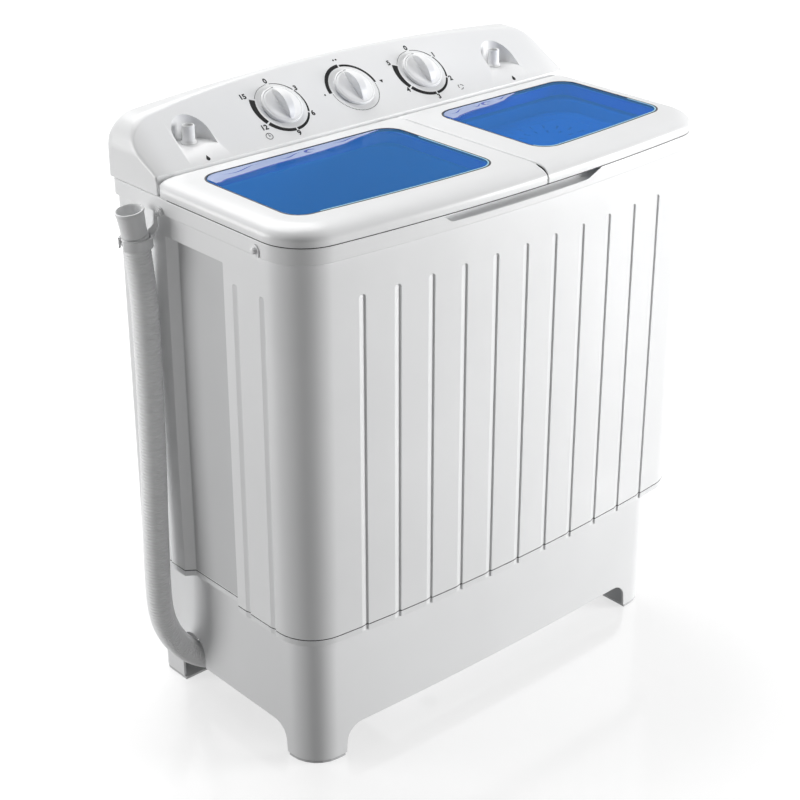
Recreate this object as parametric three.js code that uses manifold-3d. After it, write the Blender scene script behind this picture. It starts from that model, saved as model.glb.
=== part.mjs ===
// Twin tub washer: a wash tub and a spin tub side by side in one plastic casing, under two hinged
// lids, with a sloping control console behind them. Millimetres, +Z up, front towards -Y, the wash
// side towards -X. The origin is on the floor under the middle of the casing.
import * as THREE from 'three';
import { mergeVertices } from 'three/addons/utils/BufferGeometryUtils.js';
import Module from 'manifold-3d';

const manifold = await Module();
manifold.setup();

// ---- Driving dimensions ----
const GAP = 0.3; // between pieces that touch
const WALL = 3; // moulded plastic wall
const CURVE_STEPS = 3; // each arc of an outline has twice as many segments
const FAR = 400; // beyond the washer on every side, for cutters

// casing, from above: bowed front, round front corners, small rear corners
const HALF_WIDTH = 317.5;
const FRONT_Y = -172.4;
const BOW = 19.4; // how far the front falls back at the sides
const REAR_Y = 172.5;
const FRONT_CORNER = 55;
const REAR_CORNER = 14;
const COLLAR_STEP = 4; // the collar stands proud of the cabinet

// heights
const FOOT_TOP = 3;
const BASE_ARCH = 34.4;
const DECK_Z = 180;
const DECK_THICK = 4;
const CABINET_BOTTOM = 178.6;
const CABINET_TOP = 640;
const COLLAR_BOTTOM = 636.4;
const SEAM_Z = 655.4; // top of the collar
const LID_TOP = 675.5;
const GROOVE_TOP = 588;
const RECESS_TOP = 610;

// cabinet detail
const GROOVE_PITCH = 46.2;
const GROOVES_EACH_SIDE = 5;
const GROOVE_WIDTH = 8;
const GROOVE_DEPTH = 2;
const LEFT_GROOVES = [-95, -49, 106];
const RIGHT_GROOVES = [-95, -49, -3, 43, 89];
const RECESS = { front: -28.6, back: 67, rim: 75, depth: 10.7 };
const COVER_HALF_WIDTH = 235;
const COVER_BOTTOM = 205;
const COVER_TOP = 595;
const COVER_LAP = 15;
const COVER_THICK = 2.5;
const VENTS = { left: 60, right: 170, bottom: 260, pitch: 18, height: 8, count: 5 };
const COVER_SCREW = { r: 5, head: 2.6, inset: 8 };

// base
const BASE_HALF_WIDTH = 293;
const BASE_FRONT = -141;
const BASE_BOW = 8;
const BASE_REAR = 165;
const LEG_LENGTH = 50;
const BASE_CORNER = 40;
const ARCH_RADIUS = 22;
const HOSE_ARCH = { half: 24, top: 78 };
const TRAY = { left: -150, right: 282, front: -112, back: 150, bottom: 38, top: 41, hole: 12 };
const TRAY_HOLES = [[-60, -80], [60, 120], [240, 110]];
const GLAND = { x: -250, z: 90, r: 9, bore: 4, length: 7.7 };

// tubs
const TUB_FRONT = -148;
const TUB_BACK = 76;
const TUB_FLOOR = 225;
const TUB_CORNER = 60;
const WASH_TUB = { left: -298, right: 2, top: 650.8 };
const SPIN_TUB = { left: 6, right: 298, top: 636.8 };
const WASH_MOUTH = { left: -290, right: -5, front: -140, back: 62, corner: 50 };
const SPIN_WELL = { left: 58, right: 280, front: -130, back: 50, corner: 40 };
const SPIN_COVER = { left: 70, right: 268, front: -118, back: 38, corner: 34 };
const WELL_LEDGE_Z = 640.7;
const COVER_SLOTS = { x: 169, y: -40, r: 52, length: 16, width: 4, count: 12 };
const LINT_FILTER = { left: -112, right: -64, bottom: 430, top: 540, depth: 9, pitch: 18, slot: 12 };
const GRILLE = { left: -232, right: -182, bottom: 560, top: 600, depth: 3, pitch: 10, slot: 5 };
const SCOOP = { left: -130, right: 124, bottomLeft: -113, bottomRight: 96, drop: 9.5 };
const DECK_HOLES = { pulsator: 60, basket: 48, drain: 18 };

// lids
const LID_SPLIT = 27;
const LID_BACK = 80.4;
const LID_ROUND = 8;
const LID_SKIN = 3;
const HINGE_Y = 72.8;
const HINGE_Z = 667.9;
const HINGE_PIN_R = 1.6;
const HINGE_BORE_R = 1.95;
const WASH_LID = { left: -HALF_WIDTH, right: LID_SPLIT - 0.5, hinges: [-296, 8] };
const SPIN_LID = { left: LID_SPLIT + 0.5, right: HALF_WIDTH, hinges: [46, 296] };
const WASH_WINDOW = { left: -281, right: -5 };
const SPIN_WINDOW = { left: 67, right: 287 };
const WINDOW_BACK = 55.5;
const WINDOW_FRONT = -127; // at X = 0
const WINDOW_CORNER = 26;
const WINDOW_THICK = 3.2;

// console
const TILT = THREE.MathUtils.degToRad(37);
const FACE_FOOT_Y = 80.7;
const RELIEF = { z: 667, y: 82.6 }; // above z the console's front wall leans back, clear of the open lids
const CONSOLE_REAR = 178;
const CONSOLE_HALF_WIDTH = 316;
const CONSOLE_TOP = 738.8;
const CONSOLE_CREST_R = 10;
const CONSOLE_CORNER = 34;
const CONSOLE_ARCH = 16.4; // how far the crest falls towards the ends
const KNOB_UP = 50.5; // up the face from its foot
const KNOBS = { wash_timer: -112, cycle_selector: -3, spin_timer: 106 };
const KNOB_R = 26;
const KNOB_STEM_R = 4;
const KNOB_FIN = { foot: 3, top: 17, reach: 23, half: 4.7 }; // an arched grip across the knob
const TIMER_BODY = { half: 24, halfUp: 21, depth: 30 };
const NICHES = { wash: -242.5, spin: 231.5 };
const NICHE_R = 23.5;
const NICHE_Y = 114;
const NICHE_FLOOR = 690;
const SPOUTS = { wash: -243, spin: 229 };
const SPOUT_Y = 121.5;
const SPOUT_TOP = 711;
const BACK_OPENING = { half: 288, bottom: 665.4, top: 712, corner: 8 };

// drives
const PULSATOR = { x: -148, y: -36, r: 92 };
const WASH_MOTOR = { x: -46, y: 66, r: 46 };
const SPIN_DRIVE = { x: 165, y: -38, r: 101 };
const SPRING = { r: 9, wire: 1.8, height: 31, turns: 3, bottom: 44, circle: 22, first: 0.5 };
const DRAIN_VALVE = { half: 22, front: 40, back: 118, bottom: 188, wall: 3, inletY: 54 };
const PULLEY_Z = 75;
const PULLEY_THICK = 13;
const LARGE_PULLEY_R = 55;
const SMALL_PULLEY_R = 22;
const BELT_THICK = 4;
const BELT_CLEAR = 0.8; // the belt's inner face to the pulley rims

// drain
const HOSE_Y = 96.5;
const HOSE_R = 15.5;
const HOSE_BEND = 128;
const HOSE_STEPS = 26;
const HOSE_SIDES = 10;
const HOSE_END_X = -262; // where the hose meets the drain elbow inside the base
const HOSE_TOP = new THREE.Vector3(-338.6, HOSE_Y, 612);
const CUFF_AXIS = new THREE.Vector3(-0.156, 0, 0.988); // the way the hose's free end points
const ELBOW_R = 14;
const ELBOW_BEND = 50;
const CLIP_Z = 604;
const CLIP_AXIS_X = -337.4;
const HOSE_SIDE_X = -338; // the hose's middle where its lower bend starts
const HOSE_SIDE_Z = 149;
const PEG = { y: 76, z: 638.5 };
const FRONT_PEG = { y: -92, z: 643.5 };

// ---- Materials ----
const plastic = (color, roughness) => new THREE.MeshStandardMaterial({ color, roughness, metalness: 0 });
const metal = (color, roughness) => new THREE.MeshStandardMaterial({ color, roughness, metalness: 1 });
const WHITE = plastic(0xf1f2f3, 0.32);
const WARM_WHITE = plastic(0xe9ebec, 0.45);
const GREY = plastic(0xb4b8bc, 0.5);
const BLUE = new THREE.MeshStandardMaterial({
  color: 0x2c6cc4, roughness: 0.08, transparent: true, opacity: 0.55,
});
const RUBBER = plastic(0x2b2c2e, 0.8);
const BLACK = plastic(0x1c1d1f, 0.5);
const STEEL = metal(0xb9bcbf, 0.35);
const PAINTED = plastic(0x53585c, 0.55);

// ---- Solids and meshes ----
function toSolid(geometry) {
  const bare = geometry.clone();
  bare.deleteAttribute('normal');
  bare.deleteAttribute('uv');
  const welded = mergeVertices(bare, 1e-4);
  const corners = welded.index.array;
  const kept = [];
  for (let i = 0; i < corners.length; i += 3) {
    const [a, b, c] = [corners[i], corners[i + 1], corners[i + 2]];
    if (a !== b && b !== c && c !== a) kept.push(a, b, c);
  }
  return new manifold.Manifold(new manifold.Mesh({
    numProp: 3,
    vertProperties: new Float32Array(welded.attributes.position.array),
    triVerts: new Uint32Array(kept),
  }));
}

function toMesh(name, solid, material) {
  const { vertProperties, triVerts } = solid.getMesh();
  const geometry = new THREE.BufferGeometry();
  geometry.setAttribute('position', new THREE.BufferAttribute(new Float32Array(vertProperties), 3));
  geometry.setIndex(new THREE.BufferAttribute(new Uint32Array(triVerts), 1));
  geometry.computeVertexNormals();
  const mesh = new THREE.Mesh(geometry, material);
  mesh.name = name;
  return mesh;
}

const join = (...solids) => solids.reduce((whole, next) => whole.add(next));
const cut = (solid, ...tools) => tools.reduce((left, tool) => left.subtract(tool), solid);

function box(x0, x1, y0, y1, z0, z1) {
  const geometry = new THREE.BoxGeometry(x1 - x0, y1 - y0, z1 - z0);
  return toSolid(geometry.translate((x0 + x1) / 2, (y0 + y1) / 2, (z0 + z1) / 2));
}

function extrudeUp(shape, z0, z1, steps = CURVE_STEPS) {
  const options = { depth: z1 - z0, bevelEnabled: false, curveSegments: steps };
  return toSolid(new THREE.ExtrudeGeometry(shape, options).translate(0, 0, z0));
}

// a shape drawn in (Y, Z), carried along X
function extrudeAcross(shape, x0, x1, steps = CURVE_STEPS) {
  const geometry = new THREE.ExtrudeGeometry(
    shape, { depth: x1 - x0, bevelEnabled: false, curveSegments: steps });
  const turn = new THREE.Matrix4().makeBasis(
    new THREE.Vector3(0, 1, 0), new THREE.Vector3(0, 0, 1), new THREE.Vector3(1, 0, 0));
  return toSolid(geometry.applyMatrix4(turn).translate(x0, 0, 0));
}

// a shape drawn in (X, Z), carried along Y
function extrudeBack(shape, y0, y1, steps = CURVE_STEPS) {
  const geometry = new THREE.ExtrudeGeometry(
    shape, { depth: y1 - y0, bevelEnabled: false, curveSegments: steps });
  return toSolid(geometry.rotateX(Math.PI / 2).translate(0, y1, 0));
}

// a profile of [radius, height] pairs turned about a vertical axis at (x, y)
function turned(profile, x, y, sides = 20) {
  const points = [...profile, profile[0]].map(([r, z]) => new THREE.Vector2(r, z));
  const geometry = new THREE.LatheGeometry(points, sides).rotateX(Math.PI / 2);
  return toSolid(geometry.translate(x, y, 0));
}

const disc = (r, z0, z1, x, y, sides = 16) => turned([[0, z0], [r, z0], [r, z1], [0, z1]], x, y, sides);
const tube = (inner, outer, z0, z1, x, y, sides = 20) =>
  turned([[inner, z0], [outer, z0], [outer, z1], [inner, z1]], x, y, sides);

// a disc whose axis lies along X
const rod = (r, x0, x1, y, z, sides = 12) =>
  extrudeAcross(new THREE.Shape().absarc(y, z, r, 0, 2 * Math.PI), x0, x1, sides / 2);

function roundedRect(x0, x1, y0, y1, r) {
  const shape = new THREE.Shape();
  shape.absarc(x1 - r, y0 + r, r, -Math.PI / 2, 0);
  shape.absarc(x1 - r, y1 - r, r, 0, Math.PI / 2);
  shape.absarc(x0 + r, y1 - r, r, Math.PI / 2, Math.PI);
  shape.absarc(x0 + r, y0 + r, r, Math.PI, 1.5 * Math.PI);
  return shape;
}

// an outline with a bowed edge at low Y whose ends run tangent into round corners
function bowedOutline(half, front, bow, rear, frontR, rearR) {
  const bowR = (half * half + bow * bow) / (2 * bow);
  const reach = half - frontR;
  const sweep = Math.asin(reach / (bowR - frontR));
  const cornerY = front + bowR - Math.sqrt((bowR - frontR) ** 2 - reach ** 2);
  const shape = new THREE.Shape();
  shape.absarc(0, front + bowR, bowR, -Math.PI / 2 - sweep, -Math.PI / 2 + sweep);
  shape.absarc(reach, cornerY, frontR, -Math.PI / 2 + sweep, 0);
  shape.absarc(half - rearR, rear - rearR, rearR, 0, Math.PI / 2);
  shape.absarc(rearR - half, rear - rearR, rearR, Math.PI / 2, Math.PI);
  shape.absarc(-reach, cornerY, frontR, Math.PI, 1.5 * Math.PI - sweep);
  return shape;
}

const casingOutline = (inset, rear = REAR_Y) => bowedOutline(
  HALF_WIDTH - inset, FRONT_Y + inset, BOW, rear - inset,
  FRONT_CORNER - inset, REAR_CORNER - Math.min(inset, 12));
const baseOutline = (inset) => bowedOutline(
  BASE_HALF_WIDTH - inset, BASE_FRONT + inset, BASE_BOW, BASE_REAR - inset,
  BASE_CORNER - inset, REAR_CORNER - inset);
const casingFrontAt = (x) => FRONT_Y + BOW * (x / HALF_WIDTH) ** 2;

// ---- Base and feet ----
function base() {
  const inside = baseOutline(WALL);
  let solid = cut(
    extrudeUp(baseOutline(0), FOOT_TOP + GAP, DECK_Z + DECK_THICK),
    extrudeUp(inside, 0, DECK_Z));
  const deck = extrudeUp(casingOutline(COLLAR_STEP + WALL + GAP), DECK_Z, DECK_Z + DECK_THICK);
  solid = join(solid, cut(deck, recessPrism(WALL + GAP)));
  solid = join(solid, ...cornerBlocks(0, FOOT_TOP + GAP, FOOT_TOP + 9));
  const reach = BASE_HALF_WIDTH - LEG_LENGTH - 1;
  const frontArch = roundedRect(-reach, reach, -BASE_ARCH, BASE_ARCH, ARCH_RADIUS);
  const sideArch = roundedRect(
    BASE_FRONT + LEG_LENGTH + 3.4, BASE_REAR - LEG_LENGTH, -BASE_ARCH, BASE_ARCH, ARCH_RADIUS);
  const hoseArch = roundedRect(
    HOSE_Y - HOSE_ARCH.half, HOSE_Y + HOSE_ARCH.half, -HOSE_ARCH.top, HOSE_ARCH.top, HOSE_ARCH.half - 0.1);
  return cut(
    solid,
    extrudeBack(frontArch, BASE_FRONT - 10, BASE_FRONT + 20),
    extrudeBack(frontArch, BASE_REAR - 10, BASE_REAR + 10),
    extrudeAcross(sideArch, -BASE_HALF_WIDTH - 10, -BASE_HALF_WIDTH + 10),
    extrudeAcross(sideArch, BASE_HALF_WIDTH - 10, BASE_HALF_WIDTH + 10),
    extrudeAcross(hoseArch, -BASE_HALF_WIDTH - 10, -BASE_HALF_WIDTH + 10),
    disc(DECK_HOLES.pulsator, DECK_Z - 1, DECK_Z + 6, PULSATOR.x, PULSATOR.y),
    disc(DECK_HOLES.basket, DECK_Z - 1, DECK_Z + 6, SPIN_DRIVE.x, SPIN_DRIVE.y),
    disc(DECK_HOLES.drain, DECK_Z - 1, DECK_Z + 6, elbowTop().x, HOSE_Y));
}

// the four corner blocks of the base outline, front left, front right, rear left, rear right
function cornerBlocks(inset, z0, z1) {
  const reach = BASE_HALF_WIDTH - LEG_LENGTH + 1;
  const frontEdge = BASE_FRONT + LEG_LENGTH + 1;
  const rearEdge = BASE_REAR - LEG_LENGTH + 2;
  const plan = extrudeUp(baseOutline(inset), z0, z1);
  return [
    plan.intersect(box(-FAR, -reach, -FAR, frontEdge, z0, z1)),
    plan.intersect(box(reach, FAR, -FAR, frontEdge, z0, z1)),
    plan.intersect(box(-FAR, -reach, rearEdge, FAR, z0, z1)),
    plan.intersect(box(reach, FAR, rearEdge, FAR, z0, z1)),
  ];
}

function footPads() {
  const names = ['foot_pad_front_left', 'foot_pad_front_right', 'foot_pad_rear_left', 'foot_pad_rear_right'];
  return cornerBlocks(0.6, 0, FOOT_TOP).map((solid, i) => toMesh(names[i], solid, RUBBER));
}

function bottomTray() {
  const tray = box(TRAY.left, TRAY.right, TRAY.front, TRAY.back, TRAY.bottom, TRAY.top);
  const holes = TRAY_HOLES.map(([x, y]) => disc(TRAY.hole, TRAY.bottom - 1, TRAY.top + 1, x, y, 16));
  return cut(tray, ...holes);
}

// ---- Cabinet ----
function cabinet() {
  const outside = extrudeUp(casingOutline(COLLAR_STEP), CABINET_BOTTOM, CABINET_TOP);
  const inside = extrudeUp(casingOutline(COLLAR_STEP + WALL), CABINET_BOTTOM - 1, CABINET_TOP + 1);
  const shell = cut(outside, recessPrism(0), cut(inside, recessPrism(WALL)));
  const back = roundedRect(
    -COVER_HALF_WIDTH + COVER_LAP, COVER_HALF_WIDTH - COVER_LAP,
    COVER_BOTTOM + COVER_LAP, COVER_TOP - COVER_LAP, 12);
  return cut(shell, ...grooves(), extrudeBack(back, REAR_Y - 20, REAR_Y + 5));
}

// the panel pressed into the left side for the hose to hang in; grow makes the inner skin's copy
function recessPrism(grow) {
  const side = -HALF_WIDTH + COLLAR_STEP;
  const floor = side + RECESS.depth + grow;
  const plan = new THREE.Shape();
  plan.moveTo(side - 20, RECESS.front - grow);
  plan.lineTo(floor, RECESS.front - grow);
  plan.lineTo(floor, RECESS.back + grow);
  plan.lineTo(side - 1, RECESS.rim + grow);
  plan.lineTo(side - 20, RECESS.rim + grow);
  return extrudeUp(plan, 0, RECESS_TOP + grow);
}

// one upright groove with a round top, as an outline in (along the wall, Z)
function grooveOutline(at) {
  const r = GROOVE_WIDTH / 2;
  const shape = new THREE.Shape();
  shape.moveTo(at - r, CABINET_BOTTOM - 5);
  shape.lineTo(at + r, CABINET_BOTTOM - 5);
  shape.absarc(at, GROOVE_TOP - r, r, 0, Math.PI);
  return shape;
}

function grooves() {
  const cutters = [];
  for (let i = -GROOVES_EACH_SIDE; i <= GROOVES_EACH_SIDE; i += 1) {
    const x = i * GROOVE_PITCH;
    const wall = casingFrontAt(x) + COLLAR_STEP;
    cutters.push(extrudeBack(grooveOutline(x), wall - 10, wall + GROOVE_DEPTH, 2));
  }
  const side = HALF_WIDTH - COLLAR_STEP;
  for (const y of LEFT_GROOVES) {
    cutters.push(extrudeAcross(grooveOutline(y), -side - 10, -side + GROOVE_DEPTH, 2));
  }
  for (const y of RIGHT_GROOVES) {
    cutters.push(extrudeAcross(grooveOutline(y), side - GROOVE_DEPTH, side + 10, 2));
  }
  return cutters;
}

function rearCover() {
  const wall = REAR_Y - COLLAR_STEP + GAP;
  const sheet = extrudeBack(
    roundedRect(-COVER_HALF_WIDTH, COVER_HALF_WIDTH, COVER_BOTTOM, COVER_TOP, 10), wall, wall + COVER_THICK);
  const slots = [];
  for (let i = 0; i < VENTS.count; i += 1) {
    const z = VENTS.bottom + i * VENTS.pitch;
    const outline = roundedRect(VENTS.left, VENTS.right, z, z + VENTS.height, VENTS.height / 2 - 0.1);
    slots.push(extrudeBack(outline, wall - 2, wall + 5, 1));
  }
  return cut(sheet, ...slots);
}

function rearScrew(x) {
  const seat = REAR_Y - COLLAR_STEP + GAP + COVER_THICK + GAP;
  const head = new THREE.Shape().absarc(x, COVER_TOP - COVER_SCREW.inset, COVER_SCREW.r, 0, 2 * Math.PI);
  return extrudeBack(head, seat, seat + COVER_SCREW.head);
}

function cordGland() {
  const hub = new THREE.Shape().absarc(GLAND.x, GLAND.z, GLAND.r, 0, 2 * Math.PI);
  hub.holes.push(new THREE.Path().absarc(GLAND.x, GLAND.z, GLAND.bore, 0, 2 * Math.PI));
  return extrudeBack(hub, BASE_REAR + GAP, BASE_REAR + GAP + GLAND.length);
}

// ---- Collar ----
function collar() {
  const outer = extrudeUp(casingOutline(0), COLLAR_BOTTOM, SEAM_Z);
  const overCabinet = extrudeUp(casingOutline(COLLAR_STEP - GAP), COLLAR_BOTTOM - 1, CABINET_TOP + GAP);
  const hollow = extrudeUp(casingOutline(6.7), CABINET_TOP, SEAM_Z - 4);
  const gripBlock = outer.intersect(
    box(SCOOP.left - 10, SCOOP.right + 11, -FAR, FRONT_Y + 22.4, CABINET_TOP + 0.4, SEAM_Z));
  const well = extrudeUp(rectOf(SPIN_WELL, -WALL), WELL_LEDGE_Z - 3, SEAM_Z);
  const mouth = extrudeUp(rectOf(WASH_MOUTH, 0), COLLAR_BOTTOM - 5, SEAM_Z + 5);
  const wellInside = extrudeUp(rectOf(SPIN_WELL, 0), WELL_LEDGE_Z, SEAM_Z + 5);
  const wellMouth = extrudeUp(rectOf(SPIN_WELL, 16), WELL_LEDGE_Z - 10, SEAM_Z);
  let solid = cut(outer, overCabinet, cut(hollow, gripBlock));
  solid = cut(join(solid, well), mouth, wellInside, wellMouth, gripScoop());
  return join(solid, ...hingeEars());
}

function rectOf({ left, right, front, back, corner }, inset) {
  return roundedRect(left + inset, right - inset, front + inset, back - inset, corner - inset);
}

// the finger scoop in the collar's front edge, under the lids
function gripScoop() {
  const shape = new THREE.Shape();
  shape.moveTo(SCOOP.left, SEAM_Z + 2);
  shape.lineTo(SCOOP.bottomLeft, SEAM_Z - SCOOP.drop);
  shape.lineTo(SCOOP.bottomRight, SEAM_Z - SCOOP.drop);
  shape.lineTo(SCOOP.right, SEAM_Z + 2);
  return extrudeBack(shape, FRONT_Y - 10, FRONT_Y + 15);
}

function hingeEars() {
  return [...WASH_LID.hinges, ...SPIN_LID.hinges].map((x) => {
    const stem = box(x - 3, x + 3, HINGE_Y - 4, HINGE_Y + 2.6, SEAM_Z - 1, HINGE_Z);
    const eye = rod(4, x - 3, x + 3, HINGE_Y, HINGE_Z);
    return cut(join(stem, eye), rod(HINGE_BORE_R, x - 4, x + 4, HINGE_Y, HINGE_Z));
  });
}

// a peg on a small tab on the collar's left side
function hosePeg({ y, z }) {
  const side = -HALF_WIDTH - GAP;
  const tab = extrudeAcross(roundedRect(y - 5, y + 5, z - 8, z + 6, 4.9), side - 1, side, 3);
  return join(tab, rod(3, side - 4.6, side, y, z));
}

// ---- Tubs ----
function openTub({ left, right, top }) {
  const outer = extrudeUp(roundedRect(left, right, TUB_FRONT, TUB_BACK, TUB_CORNER), TUB_FLOOR, top);
  const inner = roundedRect(
    left + WALL, right - WALL, TUB_FRONT + WALL, TUB_BACK - WALL, TUB_CORNER - WALL);
  return cut(outer, extrudeUp(inner, TUB_FLOOR + WALL, top + 1));
}

const washTub = () => cut(
  openTub(WASH_TUB),
  disc(12, TUB_FLOOR - 1, TUB_FLOOR + 5, PULSATOR.x, PULSATOR.y),
  disc(9, TUB_FLOOR - 1, TUB_FLOOR + 5, elbowTop().x, DRAIN_VALVE.inletY));

const spinHousing = () => cut(
  openTub(SPIN_TUB), disc(14, TUB_FLOOR - 1, TUB_FLOOR + 5, SPIN_DRIVE.x, SPIN_DRIVE.y));

function lintFilter() {
  const { left, right, bottom, top, depth, pitch, slot } = LINT_FILTER;
  const back = TUB_BACK - WALL - GAP;
  const body = extrudeBack(roundedRect(left, right, bottom, top, 10), back - depth, back);
  const slots = [];
  for (let z = bottom + 10; z + slot < top; z += pitch) {
    slots.push(box(left + 6, right - 6, back - depth - 3, back - 3, z, z + slot));
  }
  return cut(body, ...slots);
}

function overflowGrille() {
  const { left, right, bottom, top, depth, pitch, slot } = GRILLE;
  const back = TUB_BACK - WALL - GAP;
  const plate = extrudeBack(roundedRect(left, right, bottom, top, 8), back - depth, back);
  const slots = [];
  for (let x = left + 7; x + slot < right - 7; x += pitch) {
    slots.push(box(x, x + slot, back - depth - 2, back + 2, bottom + 7, top - 7));
  }
  return cut(plate, ...slots);
}

// the inner safety cover of the spin tub, with a ring of short radial slots
function spinCover() {
  const plate = extrudeUp(rectOf(SPIN_COVER, 0), WELL_LEDGE_Z + GAP, WELL_LEDGE_Z + 3.8);
  const slots = [];
  const { x, y, r, length, width, count } = COVER_SLOTS;
  for (let i = 0; i < count; i += 1) {
    const slot = new THREE.BoxGeometry(length, width, 12).translate(r, 0, 0);
    slot.rotateZ((i * 2 * Math.PI) / count).translate(x, y, WELL_LEDGE_Z + 2);
    slots.push(toSolid(slot));
  }
  return cut(plate, ...slots);
}

// ---- Lids ----
// the whole lid area with its top edge rounded, before it is split in two
function lidBlock(inset) {
  const round = LID_ROUND - inset / 2;
  const geometry = new THREE.ExtrudeGeometry(casingOutline(inset, REAR_Y + 40), {
    depth: 20, curveSegments: CURVE_STEPS,
    bevelThickness: round, bevelSize: round, bevelOffset: -round, bevelSegments: 2,
  });
  return toSolid(geometry.translate(0, 0, LID_TOP - inset - 20 - round));
}

// the lid seen from the side: its back edge turns about the hinge line inside the space it has
function lidProfile() {
  const foot = HINGE_Z - SEAM_Z - GAP;
  const back = LID_BACK - HINGE_Y;
  const shape = new THREE.Shape();
  shape.absarc(HINGE_Y, HINGE_Z, foot + 0.05, -Math.PI / 2, -Math.acos(back / (foot + 0.05)));
  shape.absarc(HINGE_Y, HINGE_Z, back, 0, Math.PI / 2);
  shape.lineTo(FRONT_Y - 50, LID_TOP);
  shape.lineTo(FRONT_Y - 50, SEAM_Z + GAP);
  return shape;
}

// a lid window's outline: straight back and sides, a front edge bowed like the lid's
function windowOutline({ left, right }, grow) {
  const [x0, x1, r] = [left - grow, right + grow, WINDOW_CORNER + grow];
  const back = WINDOW_BACK + grow;
  const frontAt = (x) => WINDOW_FRONT - grow + BOW * (x / HALF_WIDTH) ** 2;
  const shape = new THREE.Shape();
  shape.moveTo(x0 + r, back);
  shape.quadraticCurveTo(x0, back, x0, back - r);
  shape.lineTo(x0, frontAt(x0) + r);
  shape.quadraticCurveTo(x0, frontAt(x0), x0 + r, frontAt(x0 + r));
  for (let i = 1; i <= 6; i += 1) {
    const x = THREE.MathUtils.lerp(x0 + r, x1 - r, i / 6);
    shape.lineTo(x, frontAt(x));
  }
  shape.quadraticCurveTo(x1, frontAt(x1), x1, frontAt(x1) + r);
  shape.lineTo(x1, back - r);
  shape.quadraticCurveTo(x1, back, x1 - r, back);
  return shape;
}

function lidFrame(lid, window) {
  const block = lidBlock(0).intersect(extrudeAcross(lidProfile(), lid.left - 1, lid.right + 1));
  const [low, high] = [SEAM_Z - 20, LID_TOP + 20];
  const [leftSkin, rightSkin] = lid.left < 0 ? [0, LID_SKIN] : [LID_SKIN, 0];
  const half = block.intersect(box(
    lid.left < 0 ? -FAR : lid.left, lid.left < 0 ? lid.right : FAR, -FAR, FAR, low, high));
  const hollow = lidBlock(LID_SKIN).intersect(
    box(lid.left + leftSkin, lid.right - rightSkin, -FAR, LID_BACK - LID_SKIN, low, high));
  const ring = extrudeUp(windowOutline(window, 1.5), SEAM_Z + 3, LID_TOP);
  const hole = extrudeUp(windowOutline(window, -3), low, high);
  const seat = extrudeUp(windowOutline(window, GAP), LID_TOP - WINDOW_THICK - GAP, high);
  let solid = cut(half, cut(hollow, ring), hole, seat);
  for (const x of lid.hinges) {
    const inward = hingeSide(lid, x);
    const slot = box(x - 3.6, x + 3.6, HINGE_Y - 6, HINGE_Y + 8, low, LID_TOP - LID_SKIN);
    const lug = lidLug(x + inward * 3.7, x + inward * 8.7);
    solid = join(cut(solid, slot), lug);
  }
  return solid;
}

// +1 where the lid's lug stands on the ear's +X side
const hingeSide = (lid, x) => (x === lid.hinges[0] ? 1 : -1);

function lidLug(xa, xb) {
  const [x0, x1] = [Math.min(xa, xb), Math.max(xa, xb)];
  const web = box(x0, x1, HINGE_Y - 4.4, HINGE_Y + 4.4, HINGE_Z, LID_TOP - 1);
  const eye = rod(4.4, x0, x1, HINGE_Y, HINGE_Z);
  return cut(join(web, eye), rod(HINGE_BORE_R, x0 - 1, x1 + 1, HINGE_Y, HINGE_Z));
}

function hingePin(lid, x) {
  const inward = hingeSide(lid, x);
  const [xa, xb] = [x - inward * 3.4, x + inward * 9];
  return rod(HINGE_PIN_R, Math.min(xa, xb), Math.max(xa, xb), HINGE_Y, HINGE_Z);
}

const lidWindow = (window) =>
  extrudeUp(windowOutline(window, 0), LID_TOP - WINDOW_THICK, LID_TOP - 0.2);

// ---- Console ----
function consoleProfile(inset) {
  const crestY = CONSOLE_REAR - CONSOLE_CREST_R;
  const crestZ = CONSOLE_TOP - CONSOLE_CREST_R;
  const footY = RELIEF.y + inset;
  const footZ = LID_TOP + (footY - FACE_FOOT_Y) * Math.tan(TILT) - inset / Math.cos(TILT);
  const bottom = SEAM_Z + GAP - (inset ? 5 : 0);
  const shape = new THREE.Shape();
  shape.absarc(crestY, crestZ, CONSOLE_CREST_R - inset, 0, Math.PI / 2 + TILT);
  shape.lineTo(footY, footZ);
  shape.lineTo(FACE_FOOT_Y + inset, RELIEF.z);
  shape.lineTo(FACE_FOOT_Y + inset, bottom);
  shape.lineTo(CONSOLE_REAR - inset, bottom);
  return shape;
}

// the console seen from the front: an arched top with round ends
function consoleFront(inset) {
  const outline = bowedOutline(
    CONSOLE_HALF_WIDTH - inset, -CONSOLE_TOP + inset, CONSOLE_ARCH, -SEAM_Z + 20, CONSOLE_CORNER - inset, 1);
  const points = outline.getPoints(CURVE_STEPS).map((p) => new THREE.Vector2(p.x, -p.y));
  return extrudeBack(new THREE.Shape(points), FACE_FOOT_Y - 5, CONSOLE_REAR + 5);
}

function consoleSolid(inset) {
  const half = CONSOLE_HALF_WIDTH + 4;
  return extrudeAcross(consoleProfile(inset), -half, half).intersect(consoleFront(inset));
}

const nicheSpace = (x, grow) => join(
  disc(NICHE_R + grow, NICHE_FLOOR - grow, 760, x, NICHE_Y),
  box(x - NICHE_R - grow, x + NICHE_R + grow, 60, NICHE_Y, NICHE_FLOOR - grow, 760));

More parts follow.
